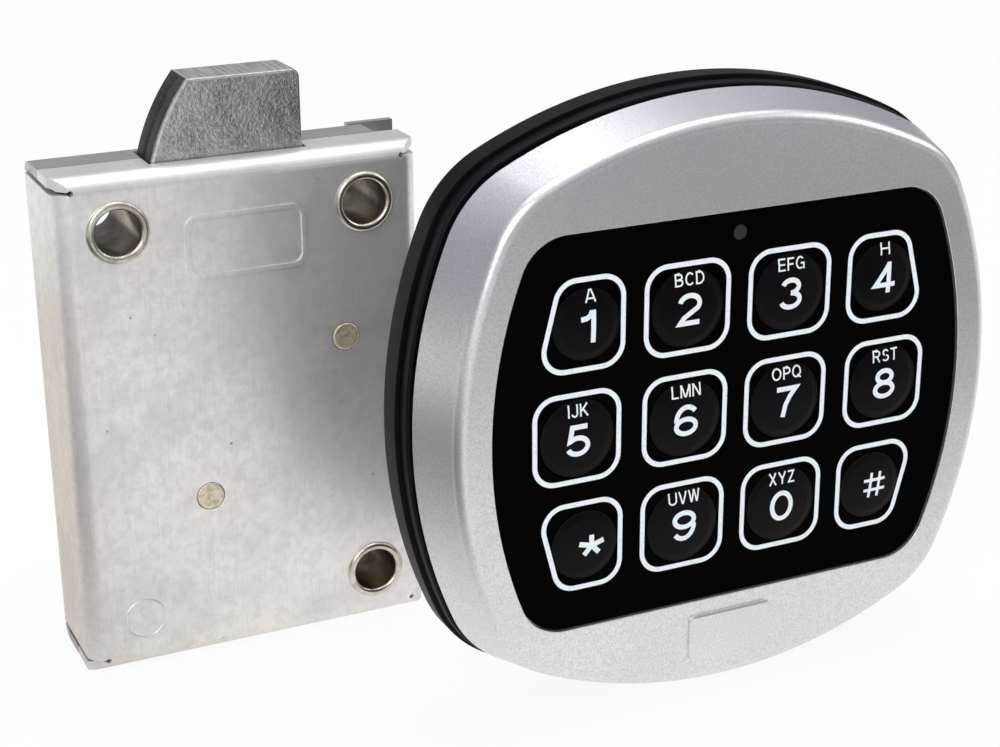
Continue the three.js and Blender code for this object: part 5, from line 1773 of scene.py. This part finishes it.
@dataclass
class SwingBolt(Part):
    """The cast bolt with its milled top, its grooved edge and its lighter corners, partly wear and partly
    painted highlight.
    """

    tip_width: float = 18.9
    tip_corner: float = 1.5
    tip_steps: int = 8
    neck_drop: float = 2.6
    hub: float = 7.0
    low_angle: float = 186.0
    edge: float = 0.5
    edge_soft: Point = (0.12, 0.35)
    groove_half: float = 0.9
    groove_deep: float = 0.45
    groove_floor: float = 0.3
    lug_reach: float = 9.7
    lug_radius: float = 1.8
    lug_angle: float = 225.0
    lug_steps: int = 12
    bore: float = 4.45
    sweep_steps: int = 48
    sideways: float = 0.3
    upwards: float = 0.9
    leftwards: float = 0.1
    bevelled: float = 0.96
    # How far the upper bevels may face the front, and how high above the pivot they start, for the lighter
    # zinc that is partly painted highlight.
    rubbed_and_highlit: Point = (0.95, 0.5)
    head_start: float = 25.0

    def __post_init__(self) -> None:
        """Reads the bolt's places from the frame."""
        self.low, self.high = self.unit.box("swing_bolt")
        self.pivot = self.unit.middle("eyelet_top_right")
        self.case_height = self.unit.box("front_cover")[1].z
        self.middle = (self.low.y + self.high.y) / 2

    def build(self) -> None:
        """Makes the bolt and gives each of its faces its own finish."""
        turn, radius = math.radians(self.lug_angle), self.lug_radius
        way = Vector((math.cos(turn), math.sin(turn)))
        side = Vector((-way.y, way.x)) * radius
        start = Vector(self.pivot)
        end, quarter = tuple(start + way * self.lug_reach), math.pi / 2
        tip = arc(end, radius, turn + quarter, turn - quarter, self.lug_steps)
        lug = [tuple(start + side), *tip, tuple(start - side)]
        made = self.head()
        combine(made, [self.solid(circle(self.pivot, self.hub)), self.solid(lug)], "UNION")
        combine(made, [self.solid(circle(self.pivot, self.bore), 2)])
        self.coat(made)
        dress(smooth(made, 45), "bolt", ["swing_bolt"])

    def solid(self, outline: Sequence[Point], beyond: float = 0.0) -> Piece:
        """Pushes an outline through the bolt's thickness, and beyond it on both sides."""
        return prism(self.unit, outline, self.low.y - beyond, self.high.y + beyond, self.finishes.cast)

    def outline(self) -> tuple[list[Point], range]:
        """Gives the head's outline, and which of its points lie on the curved edge."""
        x, z = self.pivot
        sweep = x - self.low.x
        top, corner = self.high.z, self.tip_corner
        tip_left = x - math.sqrt(sweep**2 - (top - z) ** 2)
        tip_right = tip_left + self.tip_width
        tip_angle = math.atan2(top - z, tip_left - x)
        points = [(x, z + self.hub - self.edge), (tip_right, self.case_height - self.neck_drop)]
        points += arc((tip_right - corner, top - corner), corner, 0, math.pi / 2, self.tip_steps)
        points += along(points[-1], (tip_left, top), self.tip_steps)
        first = len(points)
        points += arc((x, z), sweep, tip_angle, math.radians(self.low_angle), self.sweep_steps)
        return points + [(x, z - self.hub + self.edge)], range(first, first + self.sweep_steps + 1)

    def head(self) -> Piece:
        """Lofts the head from front to back, drawing the groove into its curved edge."""
        points, curved = self.outline()
        half, flat = self.groove_half, self.groove_half * self.groove_floor
        start, share = self.edge_soft
        before = [(self.low.y, self.edge, 0.0), (self.low.y + start, self.edge * share, 0.0)]
        before += [(self.low.y + self.edge, 0.0, 0.0), (self.middle - half, 0.0, 0.0)]
        before += [(self.middle - flat, 0.0, self.groove_deep)]
        after = [(2 * self.middle - depth, inset, groove) for depth, inset, groove in before[::-1]]
        pivot = Vector(self.pivot)
        levels = []
        for depth, inset, groove in before + after:
            moved = inset_outline(points, inset)
            for i in curved[1:] if groove else ():
                here = Vector(moved[i])
                moved[i] = tuple(here + (pivot - here).normalized() * groove)
            levels.append((moved, depth))
        return lofted(self.unit, "bolt_casting", levels, self.finishes.cast)

    def coat(self, made: Piece) -> None:
        """Gives the top, the curved edge and the lighter corners their own finishes; the lighter zinc on
        bevels that face left or lie high is partly wear, partly painted highlight.
        """
        finishes = self.finishes
        refinish(made, finishes.cast, finishes.cast_edge, finishes.milled, finishes.worn)
        cast, edge, milled, worn = range(4)
        pivot = self.unit.place(self.pivot[0], 0, self.pivot[1])
        for face in made.data.polygons:
            normal, away = face.normal, face.center - pivot
            facing = abs(normal.y)
            in_groove = abs(self.unit.local(face.center).y - self.middle) < self.groove_half
            face.material_index = cast
            if facing < self.sideways and normal.z > self.upwards:
                face.material_index = milled
            # Bevels facing left, away from the pivot, get the lighter zinc: painted highlight as well as
            # wear.
            elif (
                facing < self.bevelled
                and normal.x < -self.leftwards
                and away.length > self.head_start * MM
            ):
                face.material_index = edge if facing < self.sideways or in_groove else worn
            # Bevels high above the pivot get the lighter zinc too: painted highlight as well as wear.
            elif self.sideways < facing < self.rubbed_and_highlit[0] and away.normalized().z > self.rubbed_and_highlit[1]:
                face.material_index = worn


class HiddenParts:
    """The pieces inside, which keep their CAD shapes and get their real finishes."""

    def __init__(self, finishes: Finishes) -> None:
        """Lists each finish with the nodes that have it."""
        self.coats = {
            finishes.steel: ["blocking_lever", "solenoid_frame"],
            finishes.winding: ["solenoid_coil"],
            finishes.spring: ["solenoid_plunger", "bolt_spring", "plunger_spring"],
            finishes.board: ["lock_circuit_board", "key_circuit_board"],
            finishes.part: ["lock_chip", "capacitor", "controller_chip", "buzzer"],
            finishes.socket: [
                "cable_socket",
                "keypad_cable_socket",
                "board_spacer_left",
                "board_spacer_right",
            ],
            finishes.screw: [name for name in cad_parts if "_screw_" in name],
            finishes.rubber: ["switch_mat"],
        }

    def build(self) -> None:
        """Gives every hidden node its finish, then copies the plunger's spring."""
        for material, nodes in self.coats.items():
            for name in nodes:
                refinish(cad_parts[name], material)
                log.info("%s is finished in %s", name, material.name)
        self.shortening_spring()

    def shortening_spring(self) -> None:
        """Copies the plunger's spring onto the case's body, with a mesh of its own."""
        made = new_piece("plunger_coil_spring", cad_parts["plunger_spring"].data.copy())
        dress(made, "lock_case", ["plunger_spring"])
        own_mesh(made)


KEYS = (
    Key("key_1", 0, 0, "1", "A", (1.4, -0.1)),
    Key("key_2", 0, 1, "2", "BCD", (0.1, 0.1)),
    Key("key_3", 0, 2, "3", "EFG"),
    Key("key_4", 0, 3, "4", "H", (-0.7, 0.1)),
    Key("key_5", 1, 0, "5", "IJK"),
    Key("key_6", 1, 1, "6", "LMN"),
    Key("key_7", 1, 2, "7", "OPQ"),
    Key("key_8", 1, 3, "8", "RST"),
    Key("key_star", 2, 0, "*", "", (1.9, 0.1)),
    Key("key_9", 2, 1, "9", "UVW", (0.15, 0.1)),
    Key("key_0", 2, 2, "0", "XYZ"),
    Key("key_hash", 2, 3, "#", "", (-0.2, 0.3)),
)


def lock_unit() -> Unit:
    """Gives the lock's unit: its zero is at the bottom, under the middle of its front face."""
    low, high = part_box("front_cover")
    return Unit(Vector(((low.x + high.x) / 2, low.y, low.z)), "lock_case")


def keypad_unit() -> Unit:
    """Gives the keypad's unit: its zero is in the middle of the cover's front face."""
    low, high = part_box("keypad_housing")
    return Unit(Vector(((low.x + high.x) / 2, low.y, (low.z + high.z) / 2)), "keypad_cover")


def main() -> None:
    """Builds the camera, the studio, the keypad and the lock, in that order."""
    logging.basicConfig(level=logging.INFO, format="%(name)s: %(message)s")
    finishes = Finishes()
    keypad, lock = keypad_unit(), lock_unit()
    for part in (
        Photographer(),
        Studio(),
        KeypadHousing(keypad, finishes),
        Faceplate(keypad, finishes, KEYS),
        KeySet(keypad, finishes, KEYS),
        KeypadBase(keypad, finishes),
        LockCase(lock, finishes),
        SwingBolt(lock, finishes),
        HiddenParts(finishes),
    ):
        log.info("building %s", type(part).__name__)
        part.build()


if __name__ == "__main__":
    main()
